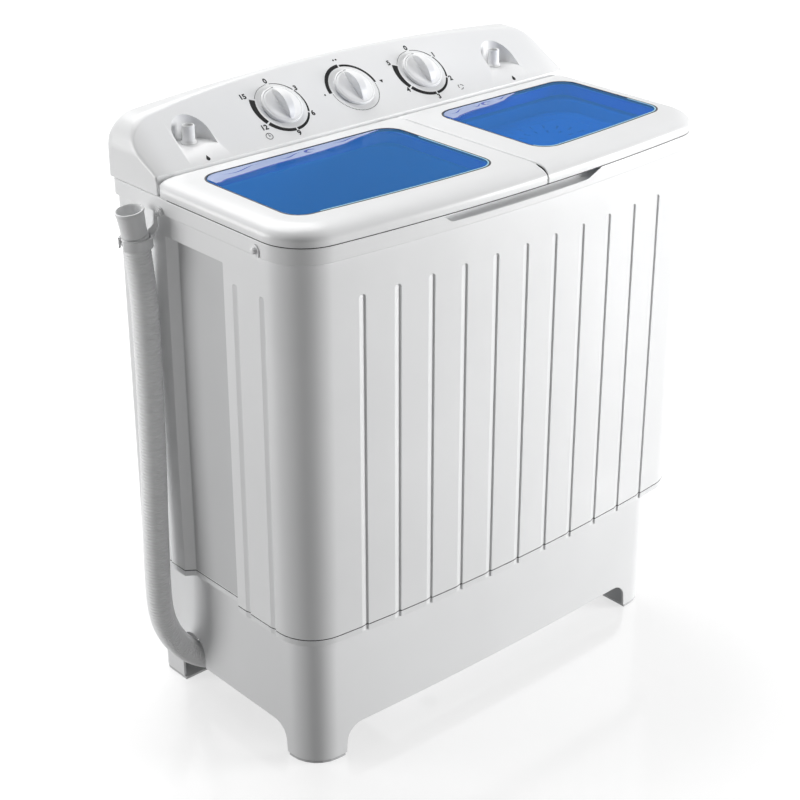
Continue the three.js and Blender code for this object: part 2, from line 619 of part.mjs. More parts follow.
function consoleShell() {
  const outer = consoleSolid(0);
  let shell = cut(outer, consoleSolid(WALL), consoleBackOpening(0));
  for (const x of Object.values(NICHES)) {
    shell = join(shell, outer.intersect(nicheSpace(x, WALL)));
    shell = cut(shell, nicheSpace(x, 0));
  }
  for (const x of Object.values(SPOUTS)) {
    shell = cut(shell, disc(5.4, NICHE_FLOOR - 5, NICHE_FLOOR + 1, x, SPOUT_Y));
  }
  const stems = Object.values(KNOBS).map((x) => onFace(disc(KNOB_STEM_R + 1.5, -8, 8, x, KNOB_UP)));
  return cut(shell, ...stems);
}

function consoleBackOpening(inset) {
  const { half, bottom, top, corner } = BACK_OPENING;
  const outline = roundedRect(inset - half, half - inset, bottom + inset, top - inset, corner);
  return extrudeBack(outline, CONSOLE_REAR - 6, CONSOLE_REAR + 6);
}

const consoleBackCover = () => consoleBackOpening(0.4).intersect(
  box(-FAR, FAR, CONSOLE_REAR - WALL, CONSOLE_REAR, SEAM_Z, CONSOLE_TOP));

// carries a solid drawn on the console face (x, up the face, out of the face) to its place
function onFace(solid) {
  const place = new THREE.Matrix4().makeRotationX(TILT);
  place.setPosition(0, FACE_FOOT_Y, LID_TOP);
  return solid.transform(place.elements);
}

const timerBody = (x) => onFace(cut(
  box(x - TIMER_BODY.half, x + TIMER_BODY.half, KNOB_UP - TIMER_BODY.halfUp, KNOB_UP + TIMER_BODY.halfUp,
    -TIMER_BODY.depth, -WALL - GAP),
  disc(KNOB_STEM_R + 0.4, -14, 0, x, KNOB_UP)));

// a low round base with an arched grip across it and a stem down into the timer
function knob(x) {
  const { foot, top, reach, half } = KNOB_FIN;
  const seat = turned([[0, 1], [KNOB_R, 1], [KNOB_R - 1.5, 4.5], [0, 6]], x, KNOB_UP, 20);
  const rise = top - foot;
  const r = (reach * reach + rise * rise) / (2 * rise);
  const spread = Math.asin(reach / r);
  const arch = new THREE.Shape();
  arch.absarc(KNOB_UP, top - r, r, Math.PI / 2 - spread, Math.PI / 2 + spread);
  const fin = extrudeAcross(arch, x - half, x + half, 6);
  return onFace(join(seat, fin, disc(KNOB_STEM_R, -12, 2, x, KNOB_UP)));
}

const inletSpout = (x) => turned([
  [3.5, NICHE_FLOOR - 14], [4.8, NICHE_FLOOR - 14], [4.8, NICHE_FLOOR + GAP], [9, NICHE_FLOOR + GAP],
  [9, NICHE_FLOOR + 2], [7.2, NICHE_FLOOR + 4], [7, SPOUT_TOP], [5, SPOUT_TOP],
  [4.2, NICHE_FLOOR + 4]], x, SPOUT_Y, 12);

// ---- Wash drive ----
function pulsator() {
  const { x, y, r } = PULSATOR;
  const floor = TUB_FLOOR + WALL + 3;
  const dish = turned([
    [0, floor + 6], [8.3, floor + 6], [8.3, floor], [r, floor], [r, floor + 5], [r * 0.6, floor + 9],
    [30, floor + 14], [22, floor + 24], [0, floor + 26]], x, y, 24);
  const vanes = [0, 1, 2].map((i) => {
    const vane = new THREE.CapsuleGeometry(9, r - 46, 2, 8).rotateZ(Math.PI / 2).scale(1, 1, 1.2);
    vane.translate(r / 2 + 4, 0, floor + 10).rotateZ((i * 2 * Math.PI) / 3).translate(x, y, 0);
    return cut(toSolid(vane), box(-400, 400, -400, 400, 0, floor + 2));
  });
  return join(dish, ...vanes);
}

const pulsatorShaft = () => disc(8, PULLEY_Z, TUB_FLOOR + WALL + 8, PULSATOR.x, PULSATOR.y);
const drivePulley = () => tube(
  8.3, LARGE_PULLEY_R, PULLEY_Z, PULLEY_Z + PULLEY_THICK, PULSATOR.x, PULSATOR.y, 28);
const motorPulley = () => join(
  disc(SMALL_PULLEY_R, PULLEY_Z, PULLEY_Z + PULLEY_THICK, WASH_MOTOR.x, WASH_MOTOR.y),
  disc(6, PULLEY_Z, PULLEY_Z + 40, WASH_MOTOR.x, WASH_MOTOR.y, 16));

const washGearbox = () => turned([
  [8.6, 120], [24, 120], [24, 140], [45, 150], [52, 175], [52, TUB_FLOOR - GAP], [8.6, TUB_FLOOR - GAP],
], PULSATOR.x, PULSATOR.y);

const washMotor = () => join(
  turned([[6.6, 92], [30, 92], [WASH_MOTOR.r, 104], [WASH_MOTOR.r, 158], [30, 172], [6.6, 172]],
    WASH_MOTOR.x, WASH_MOTOR.y),
  disc(28, 150, 172, WASH_MOTOR.x, WASH_MOTOR.y));

const motorBracket = () => cut(
  box(WASH_MOTOR.x - 60, WASH_MOTOR.x + 60, WASH_MOTOR.y - 40, WASH_MOTOR.y + 40, 172.3, DECK_Z - GAP),
  disc(14, 170, DECK_Z, WASH_MOTOR.x, WASH_MOTOR.y));

// the outline of a belt round two pulleys, at a distance off their rims
function beltOutline(off) {
  const a = new THREE.Vector2(PULSATOR.x, PULSATOR.y);
  const b = new THREE.Vector2(WASH_MOTOR.x, WASH_MOTOR.y);
  const along = b.clone().sub(a);
  const heading = along.angle();
  const lean = Math.acos((LARGE_PULLEY_R - SMALL_PULLEY_R) / along.length());
  const shape = new THREE.Shape();
  shape.absarc(a.x, a.y, LARGE_PULLEY_R + off, heading + lean, heading - lean + 2 * Math.PI);
  shape.absarc(b.x, b.y, SMALL_PULLEY_R + off, heading - lean, heading + lean);
  return shape;
}

const driveBelt = () => cut(
  extrudeUp(beltOutline(BELT_CLEAR + BELT_THICK), PULLEY_Z + 2, PULLEY_Z + PULLEY_THICK - 2, 8),
  extrudeUp(beltOutline(BELT_CLEAR), PULLEY_Z, PULLEY_Z + PULLEY_THICK, 8));

// ---- Spin drive ----
function spinBasket() {
  const { x, y, r } = SPIN_DRIVE;
  return turned([
    [9.3, 240], [r - 12, 240], [r, 252], [r, 598], [r - 4, 604], [r - 12, 604], [r - 12, 601],
    [r - 3, 598], [r - 3, 254], [r - 13, 244], [30, 244], [22, 262], [9.3, 262]], x, y, 28);
}

const spinShaft = () => disc(9, 146, 261, SPIN_DRIVE.x, SPIN_DRIVE.y);
const brakeDrum = () => tube(9.3, 40, 186, 202, SPIN_DRIVE.x, SPIN_DRIVE.y);
const spinMotor = () => turned([
  [0, 78], [38, 78], [52, 90], [52, 150], [38, 166], [9.5, 166], [9.5, 145], [0, 145],
], SPIN_DRIVE.x, SPIN_DRIVE.y);

class Helix extends THREE.Curve {
  constructor(radius, height, turns) {
    super();
    Object.assign(this, { radius, height, turns });
  }

  getPoint(t) {
    const angle = t * this.turns * 2 * Math.PI;
    return new THREE.Vector3(this.radius * Math.cos(angle), this.radius * Math.sin(angle), this.height * t);
  }
}

function mountSpring(index) {
  const wire = new THREE.Shape().absarc(0, 0, SPRING.wire, 0, 2 * Math.PI);
  const path = new Helix(SPRING.r, SPRING.height, SPRING.turns);
  const geometry = new THREE.ExtrudeGeometry(wire, { extrudePath: path, steps: 24, curveSegments: 2.5 });
  const angle = (index * 2 * Math.PI) / 3 + SPRING.first;
  return toSolid(geometry.translate(
    SPIN_DRIVE.x + SPRING.circle * Math.cos(angle), SPIN_DRIVE.y + SPRING.circle * Math.sin(angle),
    SPRING.bottom));
}

// ---- Drain ----
// the hose hangs down the side, then turns under the cabinet into the base
function hoseCurve() {
  const turnX = HOSE_SIDE_X + HOSE_BEND;
  const turnZ = HOSE_SIDE_Z;
  const points = [
    HOSE_TOP.clone(),
    HOSE_TOP.clone().addScaledVector(CUFF_AXIS, -3),
    new THREE.Vector3(-335.6, HOSE_Y, 585),
    new THREE.Vector3(-331.8, HOSE_Y, 537),
    new THREE.Vector3(-331.4, HOSE_Y, 475),
    new THREE.Vector3(-332, HOSE_Y, 414),
    new THREE.Vector3(-334, HOSE_Y, 322),
    new THREE.Vector3(-337.2, HOSE_Y, 229),
  ];
  const stop = Math.acos((HOSE_END_X - turnX) / HOSE_BEND);
  for (const part of [0, 0.2, 0.4, 0.6, 0.8, 0.97, 1]) {
    const angle = THREE.MathUtils.lerp(Math.PI, stop, part);
    points.push(new THREE.Vector3(
      turnX + HOSE_BEND * Math.cos(angle), HOSE_Y, turnZ - HOSE_BEND * Math.sin(angle)));
  }
  return new THREE.CatmullRomCurve3(points, false, 'centripetal');
}

function alongCurve(curve, r, steps, sides) {
  const section = new THREE.Shape(
    new THREE.Shape().absarc(0, 0, r, 0, 2 * Math.PI).getPoints(sides / 2).slice(0, -1));
  return toSolid(new THREE.ExtrudeGeometry(section, { extrudePath: curve, steps }));
}

// the elbow takes over where the hose ends, with a tighter bend, and rises to the drain valve
function elbowStart() {
  const turnX = HOSE_SIDE_X + HOSE_BEND;
  const angle = Math.acos((HOSE_END_X - turnX) / HOSE_BEND);
  return {
    x: HOSE_END_X,
    z: HOSE_SIDE_Z - HOSE_BEND * Math.sin(angle),
    heading: new THREE.Vector2(Math.sin(angle), Math.cos(angle)), // along (X, Z)
  };
}

function elbowTop() {
  const { x, z, heading } = elbowStart();
  return { x: x - heading.y * ELBOW_BEND + ELBOW_BEND, z: z + heading.x * ELBOW_BEND };
}

function drainElbow() {
  const { x, z, heading } = elbowStart();
  const centre = { x: x - heading.y * ELBOW_BEND, z: z + heading.x * ELBOW_BEND };
  const from = Math.atan2(z - centre.z, x - centre.x);
  const points = [];
  for (const part of [0, 0.04, 0.2, 0.4, 0.6, 0.8, 1]) {
    const angle = THREE.MathUtils.lerp(from + 0.05, 0, part);
    points.push(new THREE.Vector3(
      centre.x + ELBOW_BEND * Math.cos(angle), HOSE_Y, centre.z + ELBOW_BEND * Math.sin(angle)));
  }
  for (const height of [110, 150, 187.7]) {
    points.push(new THREE.Vector3(centre.x + ELBOW_BEND, HOSE_Y, height));
  }
  return alongCurve(new THREE.CatmullRomCurve3(points, false, 'centripetal'), ELBOW_R, 13, 10);
}

function drainValveBody() {
  const { x } = elbowTop();
  const { half, front, back, bottom, wall, inletY } = DRAIN_VALVE;
  const top = TUB_FLOOR - GAP;
  return cut(
    box(x - half, x + half, front, back, bottom, top),
    box(x - half + wall, x + half - wall, front + wall, back - wall, bottom + wall, top - wall - 0.7),
    disc(9, top - 10, top + 1, x, inletY),
    disc(11, bottom - 1, bottom + 7, x, HOSE_Y),
    disc(3.6, top - 10, top + 1, x, HOSE_Y));
}

const drainPlunger = () => join(
  disc(16, 191.3, 195, elbowTop().x, HOSE_Y), disc(3, 193, 252, elbowTop().x, HOSE_Y));

// the smooth cuff on the hose's free end, in line with the hose's top
function hoseCuff() {
  const cuff = turned(
    [[12.4, 0], [14.6, 0], [14.8, 12], [15.7, 26], [16.4, 27.5], [16.4, 30], [14.4, 30], [13, 10]], 0, 0, 20);
  const place = new THREE.Matrix4().makeRotationY(Math.atan2(CUFF_AXIS.x, CUFF_AXIS.z));
  place.setPosition(HOSE_TOP.clone().addScaledVector(CUFF_AXIS, 0.5));
  return cuff.transform(place.elements);
}

// an open ring round the hose with an arm that hooks over the collar's rear peg
function hoseClip() {
  const ring = cut(
    tube(16.8, 19, CLIP_Z - 6, CLIP_Z + 6, CLIP_AXIS_X, HOSE_Y, 28),
    box(CLIP_AXIS_X - 30, CLIP_AXIS_X - 8, HOSE_Y - 25, HOSE_Y - 7, CLIP_Z - 10, CLIP_Z + 10));
  const [armOut, armIn] = [-321.2, -319];
  const arm = new THREE.Shape();
  arm.moveTo(92, CLIP_Z - 6);
  arm.lineTo(101, CLIP_Z - 6);
  arm.lineTo(101, CLIP_Z + 6);
  arm.lineTo(PEG.y + 5.4, PEG.z - 12);
  arm.absarc(PEG.y, PEG.z, 6.4, 0, Math.PI);
  arm.lineTo(PEG.y - 1, PEG.z - 16);
  const eye = rod(3.5, armOut - 2, armIn + 2, PEG.y, PEG.z);
  return join(ring, cut(extrudeAcross(arm, armOut, armIn), eye));
}

// ---- Assembly ----
const washer = new THREE.Group();
const pieces = [
  ['base', base(), WARM_WHITE],
  ['bottom_tray', bottomTray(), STEEL],
  ['cabinet', cabinet(), WHITE],
  ['rear_access_cover', rearCover(), WARM_WHITE],
  ['rear_cover_screw_left', rearScrew(COVER_SCREW.inset - COVER_HALF_WIDTH), STEEL],
  ['rear_cover_screw_right', rearScrew(COVER_HALF_WIDTH - COVER_SCREW.inset), STEEL],
  ['power_cord_gland', cordGland(), BLACK],
  ['top_collar', collar(), WHITE],
  ['rear_hose_peg', hosePeg(PEG), WHITE],
  ['front_hose_peg', hosePeg(FRONT_PEG), WHITE],
  ['wash_tub', washTub(), WARM_WHITE],
  ['lint_filter', lintFilter(), WHITE],
  ['overflow_grille', overflowGrille(), WHITE],
  ['spin_housing', spinHousing(), WARM_WHITE],
  ['spin_inner_cover', spinCover(), WARM_WHITE],
  ['console_shell', consoleShell(), WHITE],
  ['console_back_cover', consoleBackCover(), WARM_WHITE],
  ['wash_inlet_spout', inletSpout(SPOUTS.wash), GREY],
  ['spin_inlet_spout', inletSpout(SPOUTS.spin), GREY],
  ['wash_lid_frame', lidFrame(WASH_LID, WASH_WINDOW), WHITE],
  ['wash_lid_window', lidWindow(WASH_WINDOW), BLUE],
  ['spin_lid_frame', lidFrame(SPIN_LID, SPIN_WINDOW), WHITE],
  ['spin_lid_window', lidWindow(SPIN_WINDOW), BLUE],
  ['wash_lid_pin_left', hingePin(WASH_LID, WASH_LID.hinges[0]), STEEL],
  ['wash_lid_pin_right', hingePin(WASH_LID, WASH_LID.hinges[1]), STEEL],
  ['spin_lid_pin_left', hingePin(SPIN_LID, SPIN_LID.hinges[0]), STEEL],
  ['spin_lid_pin_right', hingePin(SPIN_LID, SPIN_LID.hinges[1]), STEEL],
  ['pulsator', pulsator(), WHITE],
  ['pulsator_shaft', pulsatorShaft(), STEEL],
  ['drive_pulley', drivePulley(), PAINTED],
  ['wash_gearbox', washGearbox(), STEEL],
  ['wash_motor', washMotor(), PAINTED],
  ['wash_motor_bracket', motorBracket(), STEEL],
  ['motor_pulley', motorPulley(), STEEL],
  ['drive_belt', driveBelt(), RUBBER],
  ['spin_basket', spinBasket(), WHITE],
  ['spin_shaft', spinShaft(), STEEL],
  ['brake_drum', brakeDrum(), STEEL],
  ['spin_motor', spinMotor(), PAINTED],
  ['drain_elbow', drainElbow(), GREY],
  ['drain_valve_body', drainValveBody(), GREY],
  ['drain_valve_plunger', drainPlunger(), RUBBER],
  ['drain_hose', alongCurve(hoseCurve(), HOSE_R, HOSE_STEPS, HOSE_SIDES), GREY],
  ['hose_cuff', hoseCuff(), GREY],
  ['hose_clip', hoseClip(), GREY],
];
for (const [name, x] of Object.entries(KNOBS)) {
  pieces.push([`${name}_body`, timerBody(x), WARM_WHITE]);
  pieces.push([`${name}_knob`, knob(x), WHITE]);
}
for (let i = 0; i < 3; i += 1) {
  pieces.push([`spin_motor_spring_${i + 1}`, mountSpring(i), STEEL]);
}
for (const [name, solid, material] of pieces) {
  washer.add(toMesh(name, solid, material));
}
washer.add(...footPads());

export default washer;
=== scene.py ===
"""Twin tub washer: the fine surfaces and materials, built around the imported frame.

Dimensions are in millimetres and turned into metres where a mesh is made; the hose's are in metres. The
front is towards -Y, the wash side towards -X, and the floor is Z = 0.
"""
import math

import bmesh
import bpy
from mathutils import Euler, Matrix, Vector


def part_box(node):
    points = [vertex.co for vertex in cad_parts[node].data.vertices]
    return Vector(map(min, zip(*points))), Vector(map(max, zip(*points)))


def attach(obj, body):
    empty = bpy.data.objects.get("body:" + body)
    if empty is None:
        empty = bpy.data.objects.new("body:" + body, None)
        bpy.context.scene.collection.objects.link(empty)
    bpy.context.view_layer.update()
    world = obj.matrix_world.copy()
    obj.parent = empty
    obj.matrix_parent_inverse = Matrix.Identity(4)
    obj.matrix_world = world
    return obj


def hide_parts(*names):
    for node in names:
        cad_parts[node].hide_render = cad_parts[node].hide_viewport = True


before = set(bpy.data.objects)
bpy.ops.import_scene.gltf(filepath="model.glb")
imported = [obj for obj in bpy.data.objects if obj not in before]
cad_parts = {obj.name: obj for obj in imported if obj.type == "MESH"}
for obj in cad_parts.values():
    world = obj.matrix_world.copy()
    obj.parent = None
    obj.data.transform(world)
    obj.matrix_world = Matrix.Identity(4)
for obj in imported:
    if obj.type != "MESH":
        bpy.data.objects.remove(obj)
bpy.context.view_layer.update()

MM = 0.001
QUARTER = math.pi / 2


def corners(node):
    """A node's lowest and highest corners in millimetres."""
    low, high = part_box(node)
    return Vector(low) / MM, Vector(high) / MM


def middle(node):
    """The middle of a node's box in millimetres."""
    low, high = corners(node)
    return (low + high) / 2


# ---- Driving dimensions ----
collar_low, collar_high = corners("top_collar")
cabinet_low, cabinet_high = corners("cabinet")
lid_low, lid_high = corners("wash_lid_frame")
console_low, console_high = corners("console_shell")

# view: millimetres of lens, metres, degrees
LENS = 82.2
SENSOR = 36
VIEW_FROM = (-1.36556, -1.48719, 1.31912)
VIEW_DOWN = 25.9198
VIEW_TURN = -41.7642

# casing, from above: bowed front, round front corners, small rear corners
HALF_WIDTH = collar_high.x
FRONT_Y = collar_low.y
REAR_Y = collar_high.y
BOW = 19.4
FRONT_CORNER = 55
REAR_CORNER = 14
COLLAR_STEP = 4
WALL = 3

# heights
CABINET_BOTTOM = cabinet_low.z
CABINET_TOP = cabinet_high.z
COLLAR_BOTTOM = collar_low.z
SEAM_Z = 655.4
LID_BOTTOM = lid_low.z
LID_TOP = lid_high.z
LID_FACE = LID_TOP - 0.15
DECK_Z = 180
DECK_THICK = 4
DECK_HOLES = {"pulsator": 60, "spin_basket": 48, "drain_valve_plunger": 18}
HEM_Z = 186.5

# cabinet detail
GROOVE_PITCH = 46.2
GROOVES_EACH_SIDE = 5
GROOVE_R = 4
GROOVE_DEPTH = 1.9
GROOVE_TOP = 591
GROOVES = {
    "front": [i * GROOVE_PITCH for i in range(-GROOVES_EACH_SIDE, GROOVES_EACH_SIDE + 1)],
    "left": (106, -49, -95),
    "right": (-95, -49, -3, 43, 89),
}
RECESS_FRONT = -28.6
RECESS_BACK = 67
RECESS_RIM = 75
RECESS_DEPTH = 10.7
RECESS_TOP = 610
REAR_OPENING = (-220, 220, 220, 580)

# base
BASE_HALF = 293
BASE_FRONT = -141
BASE_BOW = 8
BASE_REAR = 165
BASE_CORNER = 40
LEG_LENGTH = 50
ARCH_TOP = 38.8
ARCH_R = 22
ARCH_STEEP = 1.2
FOOT_TOP = 3.3
SIDE_ARCH_FRONT = BASE_FRONT + LEG_LENGTH + 3.4
SIDE_ARCH_REAR = BASE_REAR - LEG_LENGTH
FRONT_ARCH = BASE_HALF - LEG_LENGTH - 1
HOSE_ARCH_R = 24
HOSE_ARCH_Z = 54

# collar: openings as (x0, x1, y0, y1)
WELL = (58, 280, -130, 50)
WELL_R = 40
WELL_LEDGE = 640.7
WELL_LIP = 16
MOUTH = (-290, -5, -140, 62)
MOUTH_R = 50
GRIP = (-140, 135, -180, -150)
SCOOP_DEPTH = 9.5

# tubs; the cover's slots as (radius, count, half length)
TUB_FLOOR = 225
TUB_CORNER = 60
TUB_WALL = 3
TUB_COVES = (18, 22)
DRAIN_Y = 54
DRAIN_R = 9
VANES = 3
VANE_START = 24
VANE_LENGTH = 58
VANE_HALF = 8.5
VANE_RISE = 12.5
VANE_TWIST = 0.45
COVER_MIDDLE = (169, -40)
COVER_CORNER = 34
COVER_SLOTS = ((52, 20, 6), (34, 14, 5))

# hinges
HINGE_Y = 72.8
HINGE_Z = 667.9
PIN_HOLE_R = 1.9
EAR_IN = 3.4
EAR_HALF = 3
EAR_R = 4
LUG_R = 4.4
LUG_GAP = 0.7
LUG_THICK = 5
SLOT_GAP = 0.6
SLOT_TOP = HINGE_Z + 5.4

# lids
LID_BACK = lid_high.y
LID_ROUND = 27
LID_DROP = 14
LID_REAR_CORNER = 10
SPLIT_CORNER = 1.2
SPLIT_ROUND = 1.6
WINDOW_BACK = 55.5
WINDOW_FRONT = -127
WINDOW_CORNER = 24
LIDS = {
    "wash_lid": {"side": -1, "split": -26.2, "window": (5, 281), "glint": (49, 92), "wave": 0.93},
    "spin_lid": {"side": 1, "split": 27.8, "window": (67, 287), "glint": (30, 80), "wave": 0.6},
}
RING_STEPS = {
    "rear": 12, "rear_corner": 8, "outer": 14, "front_corner": 14, "front": 26,
    "split_corner": 6, "split": 14,
}

# console
TILT = math.radians(37)
FACE_FOOT = console_low.y
FACE_LENGTH = 110
CONSOLE_REAR = console_high.y
CONSOLE_HALF = 316
CONSOLE_TOP = console_high.z
CONSOLE_ARCH = 16.4
END_ROUND = {"front": 2, "foot": 2.5, "crest": 26, "top": 34, "rear": 8}
RELIEF_Z = 667
RELIEF_BACK = 1.9
NICHE_X = (-242.5, 231.5)
NICHE_R = 23.5
NICHE_Y = 114
NICHE_FLOOR = 690
NICHE_FRONT = 50
NICHE_TOP = 780
CONSOLE_OPENING = (-288, 288, SEAM_Z + 10, 712)

# where the slots of the plates begin, across or upwards
CONSOLE_VENTS = range(-222, -78, 12)
REAR_VENTS = range(260, 350, 18)
LINT_SLOTS = range(440, 520, 18)
GRILLE_SLOTS = range(-225, -190, 10)

# knobs and prints on the console's face
KNOBS = {
    "wash_timer_knob": "wash_timer_dial",
    "cycle_selector_knob": "cycle_selector_dial",
    "spin_timer_knob": "spin_timer_dial",
}
KNOB_UP = 50.5
GRIP_TOP = 17
GRIP_FOOT = 3
GRIP_REACH = 23.4
GRIP_HALF = 4.9
GRIP_LENGTH = 46.4
STEM_R = 4
DIAL_R = 32.6
DIAL_STEP = 60
DIAL_SWEEP = 300
ARC_THIN = 0.6
ARC_SWELL = 6.8
MARK_R = 44
FIGURE_SIZE = 9.6
FIGURE_GAP = 4.2
INK = (0.02, 0.16)
ICON_UP = KNOB_UP - 35
ICON_ASIDE = 40
DROP_UP = 8

# drain hose, in metres: from its free end down the side and into the base
HOSE_Y = 0.0965
HOSE_TOP = Vector((-0.3386, HOSE_Y, 0.612))
HOSE_DOWN = [
    (-0.3356, 0.585), (-0.3318, 0.537), (-0.3314, 0.475), (-0.332, 0.414), (-0.334, 0.322), (-0.3372, 0.229),
]
HOSE_TURN = (-0.210, 0.149)
HOSE_BEND = 0.128
HOSE_END_X = -0.262
HOSE_R = 0.0155
HOSE_BORE = 0.0128
HOSE_PITCH = 0.004
HOSE_WAVE = (0, 0.0003, 0.001, 0.0014, 0.001, 0.0003)
HOSE_SIDES = 28
CUFF_AXIS = Vector((-0.156, 0, 0.988))

# clip on the hose
CLIP_X = -337.4
CLIP_Z = 604
CLIP_HALF = 6
STRAP_X = -321.4
STRAP_Y = (92, 101)
STRAP_THICK = 2.4

# stage, in metres; lights as (place, target, width, height, watts)
FLOOR_HALF = 30
FLOOR_Z = -0.0002
FLOOR_TONE = 0.42
FLOOR_GLOW = 0.64
FLOOR_NEAR = 0.4
FLOOR_FAR = 1.5
BACKDROP = [(-4.5, 8.5, 0), (9.5, -1.5, 0), (9.5, -1.5, 9), (-4.5, 8.5, 9)]
BACKDROP_GLOW = 0.25
AMBIENT = 0.2
LIGHTS = {
    "key": ((2.5, -2.3, 0.9), (0.1, -0.1, 0.36), 1.4, 1.6, 114),
    "left": ((-2.3, 1.75, 0.95), (-0.3, 0, 0.4), 1.2, 1.6, 40),
    "top": ((0.2, 1.15, 2.6), (0, 0, 0.6), 1.8, 1.8, 50),
}


# ---- Numbers and plane outlines ----
def unit(value):
    """A number kept between 0 and 1."""
    return min(1.0, max(0.0, value))


def spread(start, stop, steps):
    """Evenly spaced numbers, both ends in."""
    return [start + (stop - start) * i / steps for i in range(steps + 1)]


def arc(x, y, r, start, stop, steps):
    """Points of an arc about (x, y), angles in radians."""
    angles = [start + (stop - start) * i / steps for i in range(steps + 1)]
    return [(x + r * math.cos(a), y + r * math.sin(a)) for a in angles]


def rounded_rect(x0, x1, y0, y1, r, steps=8):
    """A rectangle with round corners, from its lower right corner anticlockwise."""
    centres = [(x1 - r, y0 + r), (x1 - r, y1 - r), (x0 + r, y1 - r), (x0 + r, y0 + r)]
    return [p for i, at in enumerate(centres) for p in arc(*at, r, (i - 1) * QUARTER, i * QUARTER, steps)]


def grown_rect(rect, r, grow, steps=14):
    """A rounded rectangle grown on every side."""
    x0, x1, y0, y1 = rect
    return rounded_rect(x0 - grow, x1 + grow, y0 - grow, y1 + grow, r + grow, steps)


def circle(x, y, r, steps=32):
    """A whole circle of points."""
    return arc(x, y, r, 0, 2 * math.pi, steps)[:-1]


def fillet(points, radii, steps=6):
    """A closed polygon with each corner rounded to its radius; a corner of radius 0 stays sharp."""
    rounded = []
    for i, (corner, r) in enumerate(zip(points, radii)):
        if r <= 0:
            rounded.append(tuple(corner))
            continue
        here = Vector(corner)
        before = (Vector(points[i - 1]) - here).normalized()
        after = (Vector(points[(i + 1) % len(points)]) - here).normalized()
        half = before.angle(after) / 2
        centre = here + (before + after).normalized() * (r / math.sin(half))
        start = here + before * (r / math.tan(half)) - centre
        stop = here + after * (r / math.tan(half)) - centre
        for k in range(steps + 1):
            spoke = start.lerp(stop, k / steps)
            rounded.append(tuple(centre + spoke.normalized() * r))
    return rounded


def shrink(outline, amount):
    """A convex outline moved inwards along its own normals."""
    middle_x = sum(p[0] for p in outline) / len(outline)
    middle_y = sum(p[1] for p in outline) / len(outline)
    moved = []
    for i, (x, y) in enumerate(outline):
        before = outline[i - 1]
        after = outline[(i + 1) % len(outline)]
        along = Vector((after[0] - before[0], after[1] - before[1]))
        if along.length < 1e-6:
            along = Vector((y - middle_y, middle_x - x))
        normal = Vector((-along.y, along.x)).normalized()
        if normal.dot(Vector((middle_x - x, middle_y - y))) < 0:
            normal = -normal
        moved.append((x + normal.x * amount, y + normal.y * amount))
    return moved


def blend(ring, other, part):
    """A plane outline part of the way to another with as many points."""
    return [tuple(Vector(a).lerp(Vector(b), part)) for a, b in zip(ring, other)]


def at_height(outline, z):
    """A plane outline lifted to a height."""
    return [(x, y, z) for x, y in outline]


# ---- Meshes ----
def linked(name, data):
    """A new object with the given data, in the scene."""
    obj = bpy.data.objects.new(name, data)
    bpy.context.scene.collection.objects.link(obj)
    return obj


def new_object(name, points, faces):
    """A mesh object from points in millimetres, its doubles merged and its faces turned outwards."""
    mesh = bpy.data.meshes.new(name)
    mesh.from_pydata([tuple(c * MM for c in p) for p in points], [], faces)
    obj = linked(name, mesh)
    clean(obj)
    return obj


def clean(obj):
    """Merges doubled points, drops faces without area and turns the rest outwards."""
    work = bmesh.new()
    work.from_mesh(obj.data)
    bmesh.ops.remove_doubles(work, verts=work.verts, dist=2e-6)
    bmesh.ops.dissolve_degenerate(work, edges=work.edges, dist=1e-6)
    bmesh.ops.recalc_face_normals(work, faces=work.faces)
    work.to_mesh(obj.data)
    work.free()


def loft(name, rings, ends="flat"):
    """A skin over rings of points. ends is flat for a solid with caps, loop where the last ring meets the
    first, and none for a profile that ends on its axis."""
    count = len(rings[0])
    points = [p for ring in rings for p in ring]
    faces = []
    for i in range(len(rings) if ends == "loop" else len(rings) - 1):
        a = i * count
        b = (i + 1) % len(rings) * count
        for j in range(count):
            k = (j + 1) % count
            faces.append((a + j, a + k, b + k, b + j))
    if ends == "flat":
        faces.append(tuple(range(count)))
        faces.append(tuple(range(len(points) - count, len(points))))
    return new_object(name, points, faces)


def prism(name, outline, z0, z1, edge=0.0):
    """An upright solid on a plane outline; edge is the chamfer of its two rims, for a convex outline."""
    if not edge:
        return loft(name, [at_height(outline, z0), at_height(outline, z1)])
    small = shrink(outline, edge)
    mid = shrink(outline, edge * 0.3)
    return loft(name, [
        at_height(small, z0), at_height(mid, z0 + edge * 0.3), at_height(outline, z0 + edge),
        at_height(outline, z1 - edge), at_height(mid, z1 - edge * 0.3), at_height(small, z1)])


def stack(name, outline, rows, ends="flat"):
    """A skin over an outline at (height, amount) rows; outline gives its points for an amount."""
    return loft(name, [at_height(outline(amount), z) for z, amount in rows], ends)


def ribbon(name, left, right, z0, z1):
    """A thin strip between two rows of plane points."""
    return loft(name, [[(*a, z0), (*a, z1), (*b, z1), (*b, z0)] for a, b in zip(left, right)])


def lathe(name, profile, x=0.0, y=0.0, steps=48, ends="loop"):
    """A profile of (radius, height) pairs turned about an upright axis."""
    turns = [2 * math.pi * i / steps for i in range(steps)]
    rings = [[(x + r * math.cos(a), y + r * math.sin(a), z) for a in turns] for r, z in profile]
    return loft(name, rings, ends)


def move(obj, matrix):
    """Changes an object's points by a matrix in millimetres."""
    scaled = matrix.copy()
    scaled.translation = matrix.translation * MM
    obj.data.transform(scaled)
    return obj


def face_place(x=0.0, up=0.0):
    """From (across, up the console face, out of it) to the frame."""
    turn = Matrix.Rotation(TILT, 4, "X")
    turn.translation = Vector((x, FACE_FOOT + up * math.cos(TILT), LID_TOP + up * math.sin(TILT)))
    return turn


def back_place(y):
    """From (X, Z, forwards) outlines to a plate standing at a given Y."""
    turn = Matrix.Rotation(math.pi / 2, 4, "X")
    turn.translation = Vector((0, y, 0))
    return turn


